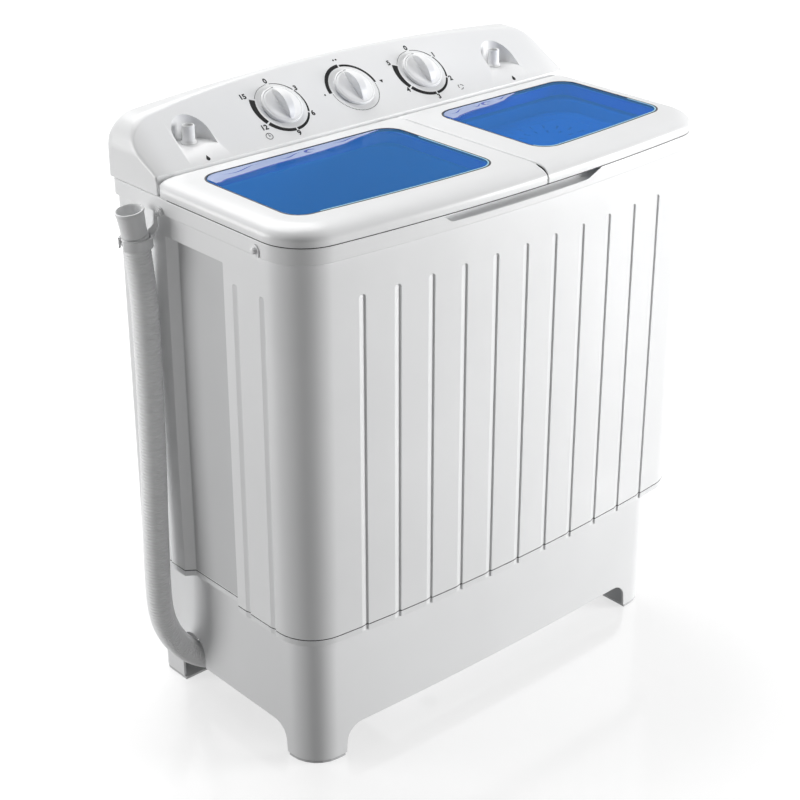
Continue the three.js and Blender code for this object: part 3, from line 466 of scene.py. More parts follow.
def side_place(x=0.0):
    """From (Y, Z, along X) outlines to a plate standing at a given X."""
    return Matrix(((0, 0, 1, x), (1, 0, 0, 0), (0, 1, 0, 0), (0, 0, 0, 1)))


def shift(obj, x, y):
    """Moves an object's points in its own plane, in millimetres."""
    obj.data.transform(Matrix.Translation(Vector((x, y, 0)) * MM))
    return obj


def settle(obj):
    """Replaces an object's mesh by what its modifiers make of it."""
    seen = obj.evaluated_get(bpy.context.evaluated_depsgraph_get())
    mesh = bpy.data.meshes.new_from_object(seen)
    obj.modifiers.clear()
    obj.data = mesh
    return obj


def carve(obj, cutter, how="DIFFERENCE"):
    """Cuts, joins or intersects an object with another, which is used up."""
    step = obj.modifiers.new("cut", "BOOLEAN")
    step.operation = how
    step.solver = "EXACT"
    step.object = cutter
    settle(obj)
    bpy.data.objects.remove(cutter)
    clean(obj)
    return obj


def gather(name, objects):
    """One object from several, each kept as its own shell."""
    work = bmesh.new()
    for obj in objects:
        work.from_mesh(obj.data)
        bpy.data.objects.remove(obj)
    mesh = bpy.data.meshes.new(name)
    work.to_mesh(mesh)
    work.free()
    return linked(name, mesh)


def bevel(obj, width, segments=2, angle=40):
    """Rounds an object's sharp edges."""
    step = obj.modifiers.new("round", "BEVEL")
    step.width = width * MM
    step.segments = segments
    step.limit_method = "ANGLE"
    step.angle_limit = math.radians(angle)
    return obj


def piece(obj, look, body="casing", stands_for=(), sharp=32, flats=True):
    """Gives a finished object its shading, material, body and the CAD nodes it stands for."""
    obj.data.materials.clear()
    obj.data.materials.append(look)
    obj.data.shade_smooth()
    obj.data.set_sharp_from_angle(angle=math.radians(sharp))
    if flats:
        step = obj.modifiers.new("flats", "WEIGHTED_NORMAL")
        step.keep_sharp = True
    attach(obj, body)
    if stands_for:
        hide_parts(*stands_for)
    return obj


# ---- Camera ----
def camera():
    """The view: from the front left, looking down."""
    data = bpy.data.cameras.new("camera")
    data.lens = LENS
    data.sensor_width = SENSOR
    data.clip_end = 50
    obj = linked("camera", data)
    obj.location = VIEW_FROM
    obj.rotation_euler = Euler((math.radians(90 - VIEW_DOWN), 0, math.radians(VIEW_TURN)))
    bpy.context.scene.camera = obj


# ---- Materials ----
class Look:
    """A material under construction: its nodes, and short ways to add and join them."""

    def __init__(self, name):
        self.material = bpy.data.materials.new(name)
        self.material.use_nodes = True
        self.tree = self.material.node_tree
        self.shader = self.tree.nodes["Principled BSDF"]
        self.output = self.tree.nodes["Material Output"]

    def fill(self, node, values):
        """Sets a node's inputs: another node's output becomes a link, anything else a value."""
        for name, value in values.items():
            if isinstance(value, bpy.types.NodeSocket):
                self.tree.links.new(value, node.inputs[name])
            else:
                node.inputs[name].default_value = value
        return node

    def add(self, kind, values):
        """A new node with its inputs set."""
        return self.fill(self.tree.nodes.new(kind), values)

    def place(self):
        """The place on the object."""
        return self.add("ShaderNodeTexCoord", {}).outputs["Object"]

    def noise(self, scale, detail=3.0, roughness=0.5, stretch=(1, 1, 1)):
        """Cloudy noise fixed to the object."""
        squash = self.add("ShaderNodeMapping", {"Scale": stretch, "Vector": self.place()})
        noise = self.add("ShaderNodeTexNoise", {
            "Scale": scale, "Detail": detail, "Roughness": roughness, "Vector": squash.outputs["Vector"]})
        return noise.outputs["Fac"]

    def between(self, value, low, high, start=0.3, stop=0.7):
        """A range of a value carried over to another; a noise has most of its values in 0.3 to 0.7."""
        node = self.add("ShaderNodeMapRange", {
            "From Min": start, "From Max": stop, "To Min": low, "To Max": high, "Value": value})
        return node.outputs["Result"]

    def ramp(self, factor, low, high):
        """A colour that changes with a noise."""
        node = self.add("ShaderNodeValToRGB", {"Fac": factor})
        for element, position, colour in zip(node.color_ramp.elements, (0.3, 0.7), (low, high)):
            element.position = position
            element.color = (*colour, 1)
        return node.outputs["Color"]

    def bump(self, height, strength, distance):
        """A fine relief on the shader's normal."""
        node = self.add("ShaderNodeBump", {"Strength": strength, "Distance": distance, "Height": height})
        self.fill(self.shader, {"Normal": node.outputs["Normal"]})


def moulded(name, colour, roughness, grain=0.06, grain_scale=900, change=0.025, coat=0.0):
    """Moulded plastic, rubber or painted metal: a base colour with slow cloudy change, a gloss that varies a
    little and a fine grain."""
    look = Look(name)
    low = tuple(c * (1 - change) for c in colour)
    high = tuple(min(1.0, c * (1 + change)) for c in colour)
    look.fill(look.shader, {
        "Base Color": look.ramp(look.noise(5, 4), low, high),
        "Roughness": look.between(look.noise(40, 5, 0.6), roughness * 0.88, roughness * 1.12),
        "Coat Weight": coat,
        "Coat Roughness": 0.12,
    })
    look.bump(look.noise(grain_scale, 2), grain, 0.0002)
    return look.material


def brushed(name, colour, roughness):
    """Drawn or brushed steel: fine streaks along Z in the gloss and in the colour."""
    look = Look(name)
    streaks = look.noise(300, 3, 0.6, stretch=(1, 1, 0.05))
    look.fill(look.shader, {
        "Base Color": look.ramp(streaks, tuple(c * 0.85 for c in colour), colour),
        "Roughness": look.between(streaks, roughness * 0.8, roughness * 1.25),
        "Metallic": 1.0,
    })
    look.bump(streaks, 0.08, 0.0002)
    return look.material


def tinted(name, body, tint, solid, roughness=0.06):
    """Tinted clear plastic: part of the light is scattered by its colour and the rest passes, tinted."""
    look = Look(name)
    look.fill(look.shader, {
        "Base Color": look.ramp(look.noise(7, 3), tuple(c * 0.93 for c in body), body),
        "Roughness": look.between(look.noise(60, 4), roughness * 0.8, roughness * 1.3),
    })
    look.bump(look.noise(40, 2), 0.004, 0.0001)
    clear = look.add("ShaderNodeBsdfTransparent", {"Color": (*tint, 1)})
    mix = look.add("ShaderNodeMixShader", {
        "Fac": solid, 1: clear.outputs["BSDF"], 2: look.shader.outputs["BSDF"]})
    look.fill(look.output, {"Surface": mix.outputs["Shader"]})
    return look.material


WHITE = moulded("white_gloss_plastic", (0.86, 0.865, 0.87), 0.34, coat=0.12)
WARM = moulded("white_satin_plastic", (0.84, 0.845, 0.85), 0.46, grain=0.1)
# painted shade: a grey version of the white plastic for the floor of the hose recess, darker because the
# recess lies in shade
RECESS_PAINTED_SHADE = moulded("recess_painted_shade_plastic", (0.66, 0.665, 0.67), 0.6, grain=0.2)
INNER = moulded("white_inner_plastic", (0.8, 0.815, 0.83), 0.4)
KNOB = moulded("knob_plastic", (0.92, 0.925, 0.93), 0.36)
HOSE = moulded("hose_grey_plastic", (0.95, 0.953, 0.957), 0.5, grain=0.15, change=0.04)
CLIP = moulded("clip_plastic", (0.87, 0.875, 0.88), 0.42)
BLUE = tinted("window_blue_plastic", (0.035, 0.4, 1.0), (0.2, 0.62, 0.9), 0.28)
SKIRT = moulded("window_skirt_plastic", (0.3, 0.16, 1.0), 0.3, grain=0.02)
# painted highlight: a pale cyan, glossy strip along the windows' front edges stands in for light glinting on
# the pane's bevel
PAINTED_GLINT = moulded("window_glint_paint", (0.45, 0.82, 1.0), 0.12, grain=0.02, coat=0.5)
WAVE = tinted("wave_print", (0.5, 0.6, 0.88), (0.75, 0.82, 1.0), 0.75, 0.15)
WAVE_DEEP = moulded("wave_print_dark", (0.035, 0.07, 0.42), 0.2, grain=0.02)
GASKET = moulded("gasket_black", (0.012, 0.013, 0.016), 0.35, grain=0.05)
PRINT = moulded("dial_ink", (0.008, 0.008, 0.009), 0.4, grain=0.03, change=0.1)
MARK = moulded("knob_mark_plastic", (0.16, 0.165, 0.17), 0.5, grain=0.03)
# black rubber for the belt and the drain plunger; also painted shade in the dark strips at the hem, the lid
# seam and the split between the lids
RUBBER_AND_PAINTED_SHADE = moulded("black_rubber_and_painted_shade", (0.022, 0.022, 0.024), 0.75, grain=0.25, change=0.15)
FOOT = moulded("foot_rubber", (0.62, 0.625, 0.63), 0.7, grain=0.2)
BLACK = moulded("black_plastic", (0.016, 0.016, 0.018), 0.45, grain=0.12, change=0.1)
STEEL = brushed("brushed_steel", (0.62, 0.63, 0.64), 0.3)
IRON = moulded("painted_iron", (0.075, 0.085, 0.092), 0.5, grain=0.2, grain_scale=350, change=0.12)


# ---- Drain hose and the pieces on it ----
def centripetal(points, per_span):
    """Points along a centripetal Catmull-Rom curve through the given points."""
    padded = [points[0] * 2 - points[1], *points, points[-1] * 2 - points[-2]]
    line = []
    for a, b, c, d in zip(padded, padded[1:], padded[2:], padded[3:]):
        t0 = (b - a).length ** 0.5
        t1 = (c - b).length ** 0.5
        t2 = (d - c).length ** 0.5
        start = ((b - a) / t0 - (c - a) / (t0 + t1) + (c - b) / t1) * t1
        stop = ((c - b) / t1 - (d - b) / (t1 + t2) + (d - c) / t2) * t1
        for i in range(per_span):
            t = i / per_span
            line.append(b + start * t + (3 * (c - b) - 2 * start - stop) * t ** 2
                        + (2 * (b - c) + start + stop) * t ** 3)
    return [*line, points[-1]]


def evenly(line, step):
    """The same line with its points a given distance apart."""
    total = sum((b - a).length for a, b in zip(line, line[1:]))
    count = round(total / step)
    points = [line[0]]
    gone = 0.0
    for a, b in zip(line, line[1:]):
        length = (b - a).length
        while len(points) < count and gone + length >= len(points) * total / count:
            points.append(a.lerp(b, (len(points) * total / count - gone) / length))
        gone += length
    return [*points, line[-1]]


def hose_route():
    """The hose's middle line: its points listed down the side, then an arc under the cabinet."""
    points = [HOSE_TOP, HOSE_TOP - CUFF_AXIS * 0.003, *[Vector((x, HOSE_Y, z)) for x, z in HOSE_DOWN]]
    turn_x, turn_z = HOSE_TURN
    stop = math.acos((HOSE_END_X - turn_x) / HOSE_BEND)
    for part in (0, 0.2, 0.4, 0.6, 0.8, 0.97, 1):
        angle = math.pi + (stop - math.pi) * part
        x = turn_x + HOSE_BEND * math.cos(angle)
        points.append(Vector((x, HOSE_Y, turn_z - HOSE_BEND * math.sin(angle))))
    return evenly(centripetal(points, 40), HOSE_PITCH / len(HOSE_WAVE))


def drain_hose():
    """A corrugated thin-walled tube along the route."""
    line = list(reversed(hose_route()))
    last = len(line) - 1
    turns = [2 * math.pi * i / HOSE_SIDES for i in range(HOSE_SIDES)]

    def ring(i, r):
        along = (line[min(i + 1, last)] - line[max(i - 1, 0)]).normalized()
        side = Vector((along.z, 0, -along.x))
        return [tuple((line[i] + side * (r * math.cos(a)) + Vector((0, r * math.sin(a), 0))) / MM)
                for a in turns]

    rings = [ring(i, HOSE_R - HOSE_WAVE[i % len(HOSE_WAVE)]) for i in range(last + 1)]
    rings += [ring(i, HOSE_BORE) for i in (*range(last, -1, -8), 0)]
    tube = loft("hose", rings, "loop")
    return piece(tube, HOSE, stands_for=["drain_hose"], sharp=80, flats=False), line


def cuff():
    """The smooth cuff on the hose's free end, open at the top, with a rolled rim."""
    profile = [(12.2, 0), (14.6, 0), (15.0, 0.6), (14.6, 6), (14.8, 12), (15.6, 25), (15.9, 26.5),
               (16.4, 27.2), (16.4, 29.3), (16.0, 30), (14.6, 30), (14.1, 29.2), (13.8, 26), (13.0, 10)]
    obj = lathe("hose_cuff_rim", profile, steps=56)
    place = Matrix.Rotation(math.atan2(CUFF_AXIS.x, CUFF_AXIS.z), 4, "Y")
    place.translation = (HOSE_TOP + CUFF_AXIS * 0.0006) / MM
    return piece(move(obj, place), CLIP, stands_for=["hose_cuff"], sharp=50)


def clip():
    """An open band round the hose with a strap that curls over the rear peg."""
    turns = [math.radians(a) for a in spread(-168, 150, 56)]

    def band(name, section):
        """A section of (radius, height) points carried round the hose."""
        return loft(name, [[(CLIP_X + r * math.cos(a), HOSE_Y / MM + r * math.sin(a), CLIP_Z + h)
                            for r, h in section] for a in turns])

    parts = [band("band", rounded_rect(16.4, 18.9, -CLIP_HALF, CLIP_HALF, 1.1, 3))]
    parts += [band("rim", circle(18.2, level, 0.9, 10)) for level in (-5.1, 5.1)]
    peg_y = middle("rear_hose_peg").y
    peg_z = middle("rear_hose_peg").z + 1
    foot = CLIP_Z - 5.5
    front, back = STRAP_Y
    outline = [(back, foot), (back, CLIP_Z + 6), (peg_y + 8.5, peg_z - 14), (peg_y + 7.2, peg_z - 2)]
    outline += arc(peg_y, peg_z, 6.2, math.radians(-8), math.radians(200), 12)
    outline += arc(peg_y, peg_z, 3.6, math.radians(200), math.radians(-5), 10)
    outline += [(peg_y + 3.4, peg_z - 8), (peg_y + 2.5, peg_z - 16), (front, foot)]
    strap = move(prism("strap", outline, 0, STRAP_THICK), side_place(STRAP_X))
    parts.append(settle(bevel(strap, 0.5)))
    whole = gather("hose_clip_strap", parts)
    return piece(whole, CLIP, stands_for=["hose_clip"], sharp=40)


camera()
hose, hose_line = drain_hose()
hose_end = [cuff(), clip()]


# ---- Plans of the casing and the base ----
def cornered(points):
    """Points of a round corner as (x, y, kind, along)."""
    return [(x, y, "corner", 0) for x, y in points]


class Plan:
    """A plan with a bowed front, round front corners and small rear corners."""

    def __init__(self, half, front, rear, bow, corner, steps):
        self.half = half
        self.rear = rear
        self.corner = corner
        self.steps = steps
        self.bow_r = (half ** 2 + bow ** 2) / (2 * bow)
        self.bow_y = front + self.bow_r
        self.x = half - corner
        self.y = self.bow_y - math.sqrt((self.bow_r - corner) ** 2 - self.x ** 2)
        self.sweep = math.asin(self.x / (self.bow_r - corner))
        self.edge = self.bow_r * math.sin(self.sweep)

    def ring(self, inset, fronts, rights, rears, lefts):
        """The outline moved inwards, as (x, y, kind, along) points at the given places along its sides. The
        places on the left have a depth of their own."""
        r = self.bow_r - inset
        corner = self.corner - inset
        side = self.half - inset
        rear = self.rear - inset
        rear_r = max(REAR_CORNER - inset, 1)
        ring = []
        for x in fronts:
            scaled = x * r / self.bow_r
            ring.append((scaled, self.bow_y - math.sqrt(r * r - scaled * scaled), "front", x))
        ring += cornered(arc(self.x, self.y, corner, self.sweep - QUARTER, 0, self.steps)[1:])
        ring += [(side, y, "right", y) for y in rights]
        ring += cornered(arc(side - rear_r, rear - rear_r, rear_r, 0, QUARTER, 6))
        ring += [(x, rear, "rear", x) for x in rears]
        ring += cornered(arc(rear_r - side, rear - rear_r, rear_r, QUARTER, 2 * QUARTER, 6))
        ring += [(-side + depth, y, "left", y) for y, depth in lefts]
        left = arc(-self.x, self.y, corner, 2 * QUARTER, 3 * QUARTER - self.sweep, self.steps)
        return ring + cornered(left[:-1])


CASING = Plan(HALF_WIDTH, FRONT_Y, REAR_Y, BOW, FRONT_CORNER, 16)
BASE = Plan(BASE_HALF, BASE_FRONT, BASE_REAR, BASE_BOW, BASE_CORNER, 14)


def groove_offsets(at):
    """Places across a groove, close together where its sides turn."""
    return [at + s for s in (-5.2, -4.4, -4.1, -3.8, -2.6, -1, 0.6, 2, 2.6, 3.2, 3.6, 3.8, 4.1, 4.4, 5.2)]


def front_places():
    """X places along the front, from left to right."""
    places = [-CASING.edge, -CASING.edge + 16]
    for i, at in enumerate(GROOVES["front"]):
        places += groove_offsets(at)
        if i < 2 * GROOVES_EACH_SIDE:
            places.append(at + GROOVE_PITCH / 2)
    return [*places, CASING.edge - 16, CASING.edge]


def side_recess(inset):
    """The left wall from the rear to the front as (Y, depth) pairs, with the recess for the hose."""
    front = RECESS_FRONT - inset
    bends = [Vector(p) for p in (
        (150, 0), (RECESS_RIM + inset / 2, 0), (RECESS_BACK + inset / 2, RECESS_DEPTH), (front, RECESS_DEPTH),
        (front, 0), (-60, 0))]
    rounded = []
    for a, b, c in zip(bends, bends[1:], bends[2:]):
        start = b + (a - b).normalized() * 1.1
        stop = b + (c - b).normalized() * 1.1
        rounded += [tuple(start.lerp(b, t).lerp(b.lerp(stop, t), t)) for t in (0, 0.25, 0.5, 0.75, 1)]
    return rounded


def casing_rears():
    """X places along the rear, from right to left."""
    end = HALF_WIDTH - REAR_CORNER - 20
    return spread(end, -end, 12)


def casing_ring(inset, recess=0.0):
    """The casing's outline as (x, y, kind, along) points, close together at its grooves; recess is how far
    the side recess is pressed in, from 0 to 1."""
    rights = [y for at in GROOVES["right"] for y in groove_offsets(at)]
    first, *others = [list(reversed(groove_offsets(at))) for at in GROOVES["left"]]
    lefts = [(y, 0) for y in first]
    lefts += [(y, depth * recess) for y, depth in side_recess(inset - COLLAR_STEP)]
    lefts += [(y, 0) for places in others for y in places]
    return CASING.ring(inset, front_places(), rights, casing_rears(), lefts)


def casing_outline(inset):
    """The plain casing outline as (x, y) points."""
    sides = spread(CASING.y + 8, REAR_Y - inset - 30, 12)
    lefts = [(y, 0) for y in reversed(sides)]
    ring = CASING.ring(inset, spread(-CASING.edge, CASING.edge, 60), sides, casing_rears(), lefts)
    return [(x, y) for x, y, _, _ in ring]


# ---- Cabinet ----
def groove_depth(kind, along, z):
    """How deep a groove is at a place on the wall: it deepens slowly across, then ends in a crisp flank."""
    if kind not in GROOVES:
        return 0.0
    s = min((along - at for at in GROOVES[kind]), key=abs)
    off = math.hypot(s, max(0.0, z - (GROOVE_TOP - GROOVE_R)))
    across = -s if kind == "left" else s
    ramp = unit((across + GROOVE_R) / (2 * GROOVE_R - 1.4))
    cap = unit((GROOVE_R + 0.4 - off) / 0.6)
    return GROOVE_DEPTH * min(0.08 + 0.92 * ramp, cap)


def wall_row(inset, z, recess):
    """One row of the cabinet's outer wall, with its grooves pressed in."""
    inwards = {"front": (0, 1), "left": (1, 0), "right": (-1, 0)}
    row = []
    for x, y, kind, along in casing_ring(COLLAR_STEP + inset, recess):
        depth = groove_depth(kind, along, z)
        in_x, in_y = inwards.get(kind, (0, 0))
        row.append((x + in_x * depth, y + in_y * depth, z))
    return row


def cabinet():
    """The cabinet shell: grooved outer wall with its hem line and side recess, and a plain inner wall."""
    bottom, top = CABINET_BOTTOM, CABINET_TOP
    foot = [(bottom, 2.0), (bottom, 1.2), (bottom + 0.35, 0.35), (bottom + 1.2, 0)]
    hem = [(HEM_Z - 0.7, 0), (HEM_Z - 0.45, 0.75), (HEM_Z + 0.45, 0.75), (HEM_Z + 0.7, 0)]
    rows = [wall_row(inset, z, 1) for z, inset in (*foot, *hem, (250, 0), (400, 0), (550, 0))]
    rows += [wall_row(0, z, 1) for z in spread(GROOVE_TOP - 5, GROOVE_TOP + 1, 14)]
    ledge = [(-10, 1), (-1.4, 1), (-0.4, 0.97), (0, 0.88), (0, 0.12), (0.4, 0.03), (1.2, 0)]
    rows += [wall_row(0, RECESS_TOP + up, recess) for up, recess in ledge]
    rows += [wall_row(inset, top - down, 0) for down, inset in ((1, 0), (0.3, 0.3), (0, 1))]
    under = RECESS_TOP + WALL
    inner = [(top, 0), (under + 1, 0), (under, 0.1), (under, 0.9), (under - 1, 1), (400, 1), (bottom, 1)]
    for z, recess in inner:
        rows.append([(x, y, z) for x, y, _, _ in casing_ring(COLLAR_STEP + WALL, recess)])
    shell = loft("cabinet_shell", rows, "loop")
    opening = move(prism("opening", rounded_rect(*REAR_OPENING, 12), 0, 30), back_place(REAR_Y + 8))
    return piece(carve(shell, opening), WHITE, stands_for=["cabinet"], sharp=38)


def hem_joint():
    """A dark strip in the cabinet's hem groove: painted shade standing in for the shadow in the groove."""
    section = ((0.15, -0.55), (0.15, 0.55), (1.4, 0.55), (1.4, -0.55))
    rows = [wall_row(inset, HEM_Z + up, 1) for inset, up in section]
    return piece(loft("cabinet_hem_painted_shade", rows, "loop"), RUBBER_AND_PAINTED_SHADE, sharp=50)


def lid_joint():
    """A dark strip between the collar and the lids, round the front and both sides: painted shade standing in
    for the shadow in the seam.
    """
    def front_run(inset):
        ring = casing_outline(inset)
        end = HINGE_Y - 4
        start = next(i for i, (x, y) in enumerate(ring) if x < 0 and end > y > 0)
        return [(x, y) for x, y in ring[start:] + ring[:start] if y < end]

    seam_shade = ribbon("lid_seam_painted_shade", front_run(0.5), front_run(2.2), SEAM_Z - 0.75, SEAM_Z + 0.2)
    return piece(seam_shade, RUBBER_AND_PAINTED_SHADE, flats=False)


def lid_seal():
    """A dark strip on the spin lid's left flank, in the gap between the lids: painted shade standing in for
    the shadow in that gap.
    """
    lid = LIDS["spin_lid"]
    front = corners("spin_lid_frame")[0].y + 1.3
    back = HINGE_Y - 8
    outline = [(front, SEAM_Z + 3), (back, SEAM_Z + 3)]
    outline += [(y, lid_surface(lid, lid["split"], y) - 0.2) for y in spread(back, front, 48)]
    split_shade = move(prism("spin_lid_split_painted_shade", outline, -0.5, 0.5), side_place(lid["split"] - 0.45))
    return piece(split_shade, RUBBER_AND_PAINTED_SHADE, "spin_lid")


def recess_panel():
    """A grey field on the floor of the hose recess: painted shade that makes the recess darker than the wall.
    """
    outline = rounded_rect(RECESS_FRONT + 1, RECESS_BACK - 1, HEM_Z + 2, RECESS_TOP - 1.6, 1.2, 3)
    floor_x = COLLAR_STEP - HALF_WIDTH + RECESS_DEPTH
    panel = move(prism("recess_panel", outline, -0.3, 0.3, 0.1), side_place(floor_x))
    return piece(panel, RECESS_PAINTED_SHADE)


# ---- Base ----
def leg_arch(off):
    """Height of an arch at a distance past a leg's edge: a steep foot, then a round shoulder."""
    spring = ARCH_TOP - ARCH_R
    if off <= 0:
        return FOOT_TOP
    if off < ARCH_STEEP:
        return FOOT_TOP + (spring - FOOT_TOP) * off / ARCH_STEEP
    if off < ARCH_STEEP + ARCH_R:
        return spring + math.sqrt(ARCH_R ** 2 - (ARCH_STEEP + ARCH_R - off) ** 2)
    return ARCH_TOP


def base_bottom(kind, along):
    """Height of the base's lower edge at a place along its wall."""
    if kind in ("front", "rear"):
        return leg_arch(FRONT_ARCH - abs(along))
    if kind not in ("left", "right"):
        return FOOT_TOP
    height = min(leg_arch(along - SIDE_ARCH_FRONT), leg_arch(SIDE_ARCH_REAR - along))
    off = abs(along - HOSE_Y / MM)
    if kind == "left" and off < HOSE_ARCH_R:
        height = max(height, HOSE_ARCH_Z + math.sqrt(HOSE_ARCH_R ** 2 - off ** 2))
    return height


def base_ring(inset):
    """The base's outline as (x, y, kind, along) points, close together where its arches turn."""
    arch = (-1.5, 0, 0.4, 0.8, 1.2, 1.6, 2.6, 4.2, 6.4, 9.4, 13, 17.6, 23.2)
    left_front = [off - FRONT_ARCH for off in arch]
    fronts = [*left_front, *spread(-200, 200, 12), *[-x for x in reversed(left_front)]]
    ups = [*[SIDE_ARCH_FRONT + off for off in arch], *spread(-50, 60, 6)]
    rights = [*ups, *[SIDE_ARCH_REAR - off for off in reversed(arch)]]
    hose_arch = [HOSE_ARCH_R * math.sin(a) for a in spread(-1.56, 1.56, 16)]
    beside = (HOSE_ARCH_R + 0.1, HOSE_ARCH_R + 1)
    ups += [HOSE_Y / MM + off for off in (-beside[1], -beside[0], *hose_arch, *beside)]
    lefts = [(y, 0) for y in reversed(ups)]
    return BASE.ring(inset, [-BASE.edge, *fronts, BASE.edge], rights, list(reversed(fronts)), lefts)


def base():
    """The base: a wall on four legs with arches between them, and the deck that it carries."""
    def row(inset, up, top=0.0, part=0.0):
        """The wall's lower edge raised, and then carried part of the way to a level top."""
        edge = [(x, y, base_bottom(kind, along) + up) for x, y, kind, along in base_ring(inset)]
        return [(x, y, z + (top - z) * part) for x, y, z in edge]

    rim = DECK_Z + 2
    rows = [row(2.2, 0), row(0.9, 0), row(0.25, 0.3), row(0, 1)]
    rows += [row(0, 1, DECK_Z - 4, part) for part in (0.3, 0.65, 1)]
    rows += [row(0, 1, rim, 1), row(WALL, 1, rim, 1), row(WALL, 1.5)]
    shell = loft("base_shell", rows, "loop")
    deck = [(x, y) for x, y, _, _ in casing_ring(COLLAR_STEP + WALL + 0.3, 1)]
    carve(shell, prism("deck", deck, DECK_Z, DECK_Z + DECK_THICK), "UNION")
    for node, r in DECK_HOLES.items():
        at = middle(node)
        carve(shell, prism("hole", circle(at.x, at.y, r), DECK_Z - 3, DECK_Z + 9))
    return piece(shell, WARM, stands_for=["base"], sharp=38)


# ---- Collar ----
def lipped_hole(rect, r, z0, z1):
    """A cutter for an upright hole whose upper rim is rounded."""
    rows = [(z0, 0), (z1 - 1.8, 0), (z1 - 0.9, 0.25), (z1 - 0.3, 0.8), (z1, 1.6), (z1 + 2, 5)]
    return stack("hole", lambda grow: grown_rect(rect, r, grow), rows)


def top_collar():
    """The collar round the top of the cabinet, with the wash mouth, the spin well and the finger scoop."""
    low, top = COLLAR_BOTTOM, CABINET_TOP + 0.3
    collar = stack("collar_shell", casing_outline, [
        (low, 1.5), (low + 0.4, 0.5), (low + 1.1, 0.08), (low + 2, 0),
        (SEAM_Z - 1.8, 0), (SEAM_Z - 0.9, 0.25), (SEAM_Z - 0.3, 0.8), (SEAM_Z, 1.6)])
    hollow = stack("hollow", casing_outline, [(low - 2, 3.7), (top, 3.7), (top, 6.7), (SEAM_Z - 4, 6.7)])
    carve(hollow, prism("grip", rounded_rect(*GRIP, 2), CABINET_TOP + 0.4, SEAM_Z + 1))
    carve(hollow, prism("well", grown_rect(WELL, WELL_R, WALL), WELL_LEDGE - WALL, SEAM_Z + 1))
    carve(collar, hollow)
    carve(collar, lipped_hole(MOUTH, MOUTH_R, low - 5, SEAM_Z))
    carve(collar, lipped_hole(WELL, WELL_R, WELL_LEDGE, SEAM_Z))
    carve(collar, prism("well_mouth", grown_rect(WELL, WELL_R, -WELL_LIP), WELL_LEDGE - 10, SEAM_Z))
    carve(collar, finger_scoop())
    return piece(collar, WHITE, stands_for=["top_collar"], sharp=35)


def finger_scoop():
    """The cutter of the finger scoop: round at its left end, sloping at its right end."""
    over, floor = SEAM_Z + 3, SEAM_Z - SCOOP_DEPTH
    outline = fillet([(-133, over), (-116, floor), (94, floor), (126, over)], [0, 12, 14, 0])
    rows = [(-0.8, -190), (-0.8, -171.2), (0, -169.8), (0, -160), (1.5, -158)]
    return loft("scoop", [[(x, y, z) for x, z in shrink(outline, amount)] for amount, y in rows])


def ear_places(lid_name):
    """Where a lid's two hinge ears stand, each with the direction towards the lid's middle."""
    left = corners(lid_name + "_pin_left")[0].x + EAR_IN
    right = corners(lid_name + "_pin_right")[1].x - EAR_IN
    return (left, 1), (right, -1)


def pinned_plate(name, outline, near, far):
    """An upright plate on the hinge line with the hole for its pin."""
    plate = move(prism(name, outline, near, far), side_place())
    hole = prism("hole", circle(HINGE_Y, HINGE_Z, PIN_HOLE_R, 20), near - 2, far + 2)
    return carve(plate, move(hole, side_place()))


def hinge_ears():
    """The four ears on the collar that the lid pins run through."""
    foot = SEAM_Z - 0.5
    head = arc(HINGE_Y, HINGE_Z, EAR_R, -0.2, math.pi + 0.2, 14)
    outline = [(HINGE_Y + 3.2, foot), *head, (HINGE_Y - 4.6, foot)]
    ears = [pinned_plate("ear", outline, at - EAR_HALF, at + EAR_HALF)
            for name in LIDS for at, _ in ear_places(name)]
    return piece(gather("lid_hinge_ears", ears), WHITE)


def hose_peg(node):
    """A peg with a domed end, on a round-topped tab that runs down to the collar's lower edge."""
    at = middle(node)
    low, high = corners(node)
    face = HALF_WIDTH + 0.15
    tab_r = 7
    foot = COLLAR_BOTTOM + 1.2
    tab = [(at.y + tab_r, foot), *arc(at.y, high.z - 6.4, tab_r, 0, math.pi, 14), (at.y - tab_r, foot)]
    plate = move(prism("tab", tab, 0, 1.1, 0.4), side_place(-face - 1.1))
    reach = -face - low.x
    profile = [(0, 0), (3.6, 0), (3.6, reach - 1.3), (3.3, reach - 0.5), (2.4, reach - 0.05), (0, reach)]
    place = Matrix.Rotation(-QUARTER, 4, "Y")
    place.translation = Vector((-face, at.y, at.z + 1))
    peg = move(lathe("button", profile, steps=28, ends="none"), place)
    return piece(gather(node + "_detail", [plate, peg]), WHITE, stands_for=[node])


# ---- Lids ----
def lid_ring(lid, outer, split, rear):
    """A lid's outline moved inwards by different amounts at its outer and front, split and rear sides. It is
    drawn with the outer side towards +X."""
    near = lid["split"] + split
    far = HALF_WIDTH - outer
    back = LID_BACK - rear
    tiny = SPLIT_CORNER
    corner = max(LID_REAR_CORNER - outer, 0.6)
    n = RING_STEPS
    bow_r = CASING.bow_r - outer
    ring = [(x, back) for x in spread(near + tiny, far - corner, n["rear"])]
    ring += arc(far - corner, back - corner, corner, QUARTER, 0, n["rear_corner"])[1:]
    ring += [(far, y) for y in spread(back - corner, CASING.y, n["outer"])[1:]]
    ring += arc(CASING.x, CASING.y, FRONT_CORNER - outer, 0, CASING.sweep - QUARTER, n["front_corner"])[1:]
    angles = spread(CASING.sweep, math.asin((near + tiny) / bow_r), n["front"])[1:]
    ring += [(bow_r * math.sin(a), CASING.bow_y - bow_r * math.cos(a)) for a in angles]
    low = ring[-1][1]
    ring += arc(near + tiny, low + tiny, tiny, -QUARTER, -2 * QUARTER, n["split_corner"])[1:]
    ring += [(near, y) for y in spread(low + tiny, back - tiny, n["split"])[1:]]
    return ring + arc(near + tiny, back - tiny, tiny, 2 * QUARTER, QUARTER, n["split_corner"])[1:-1]


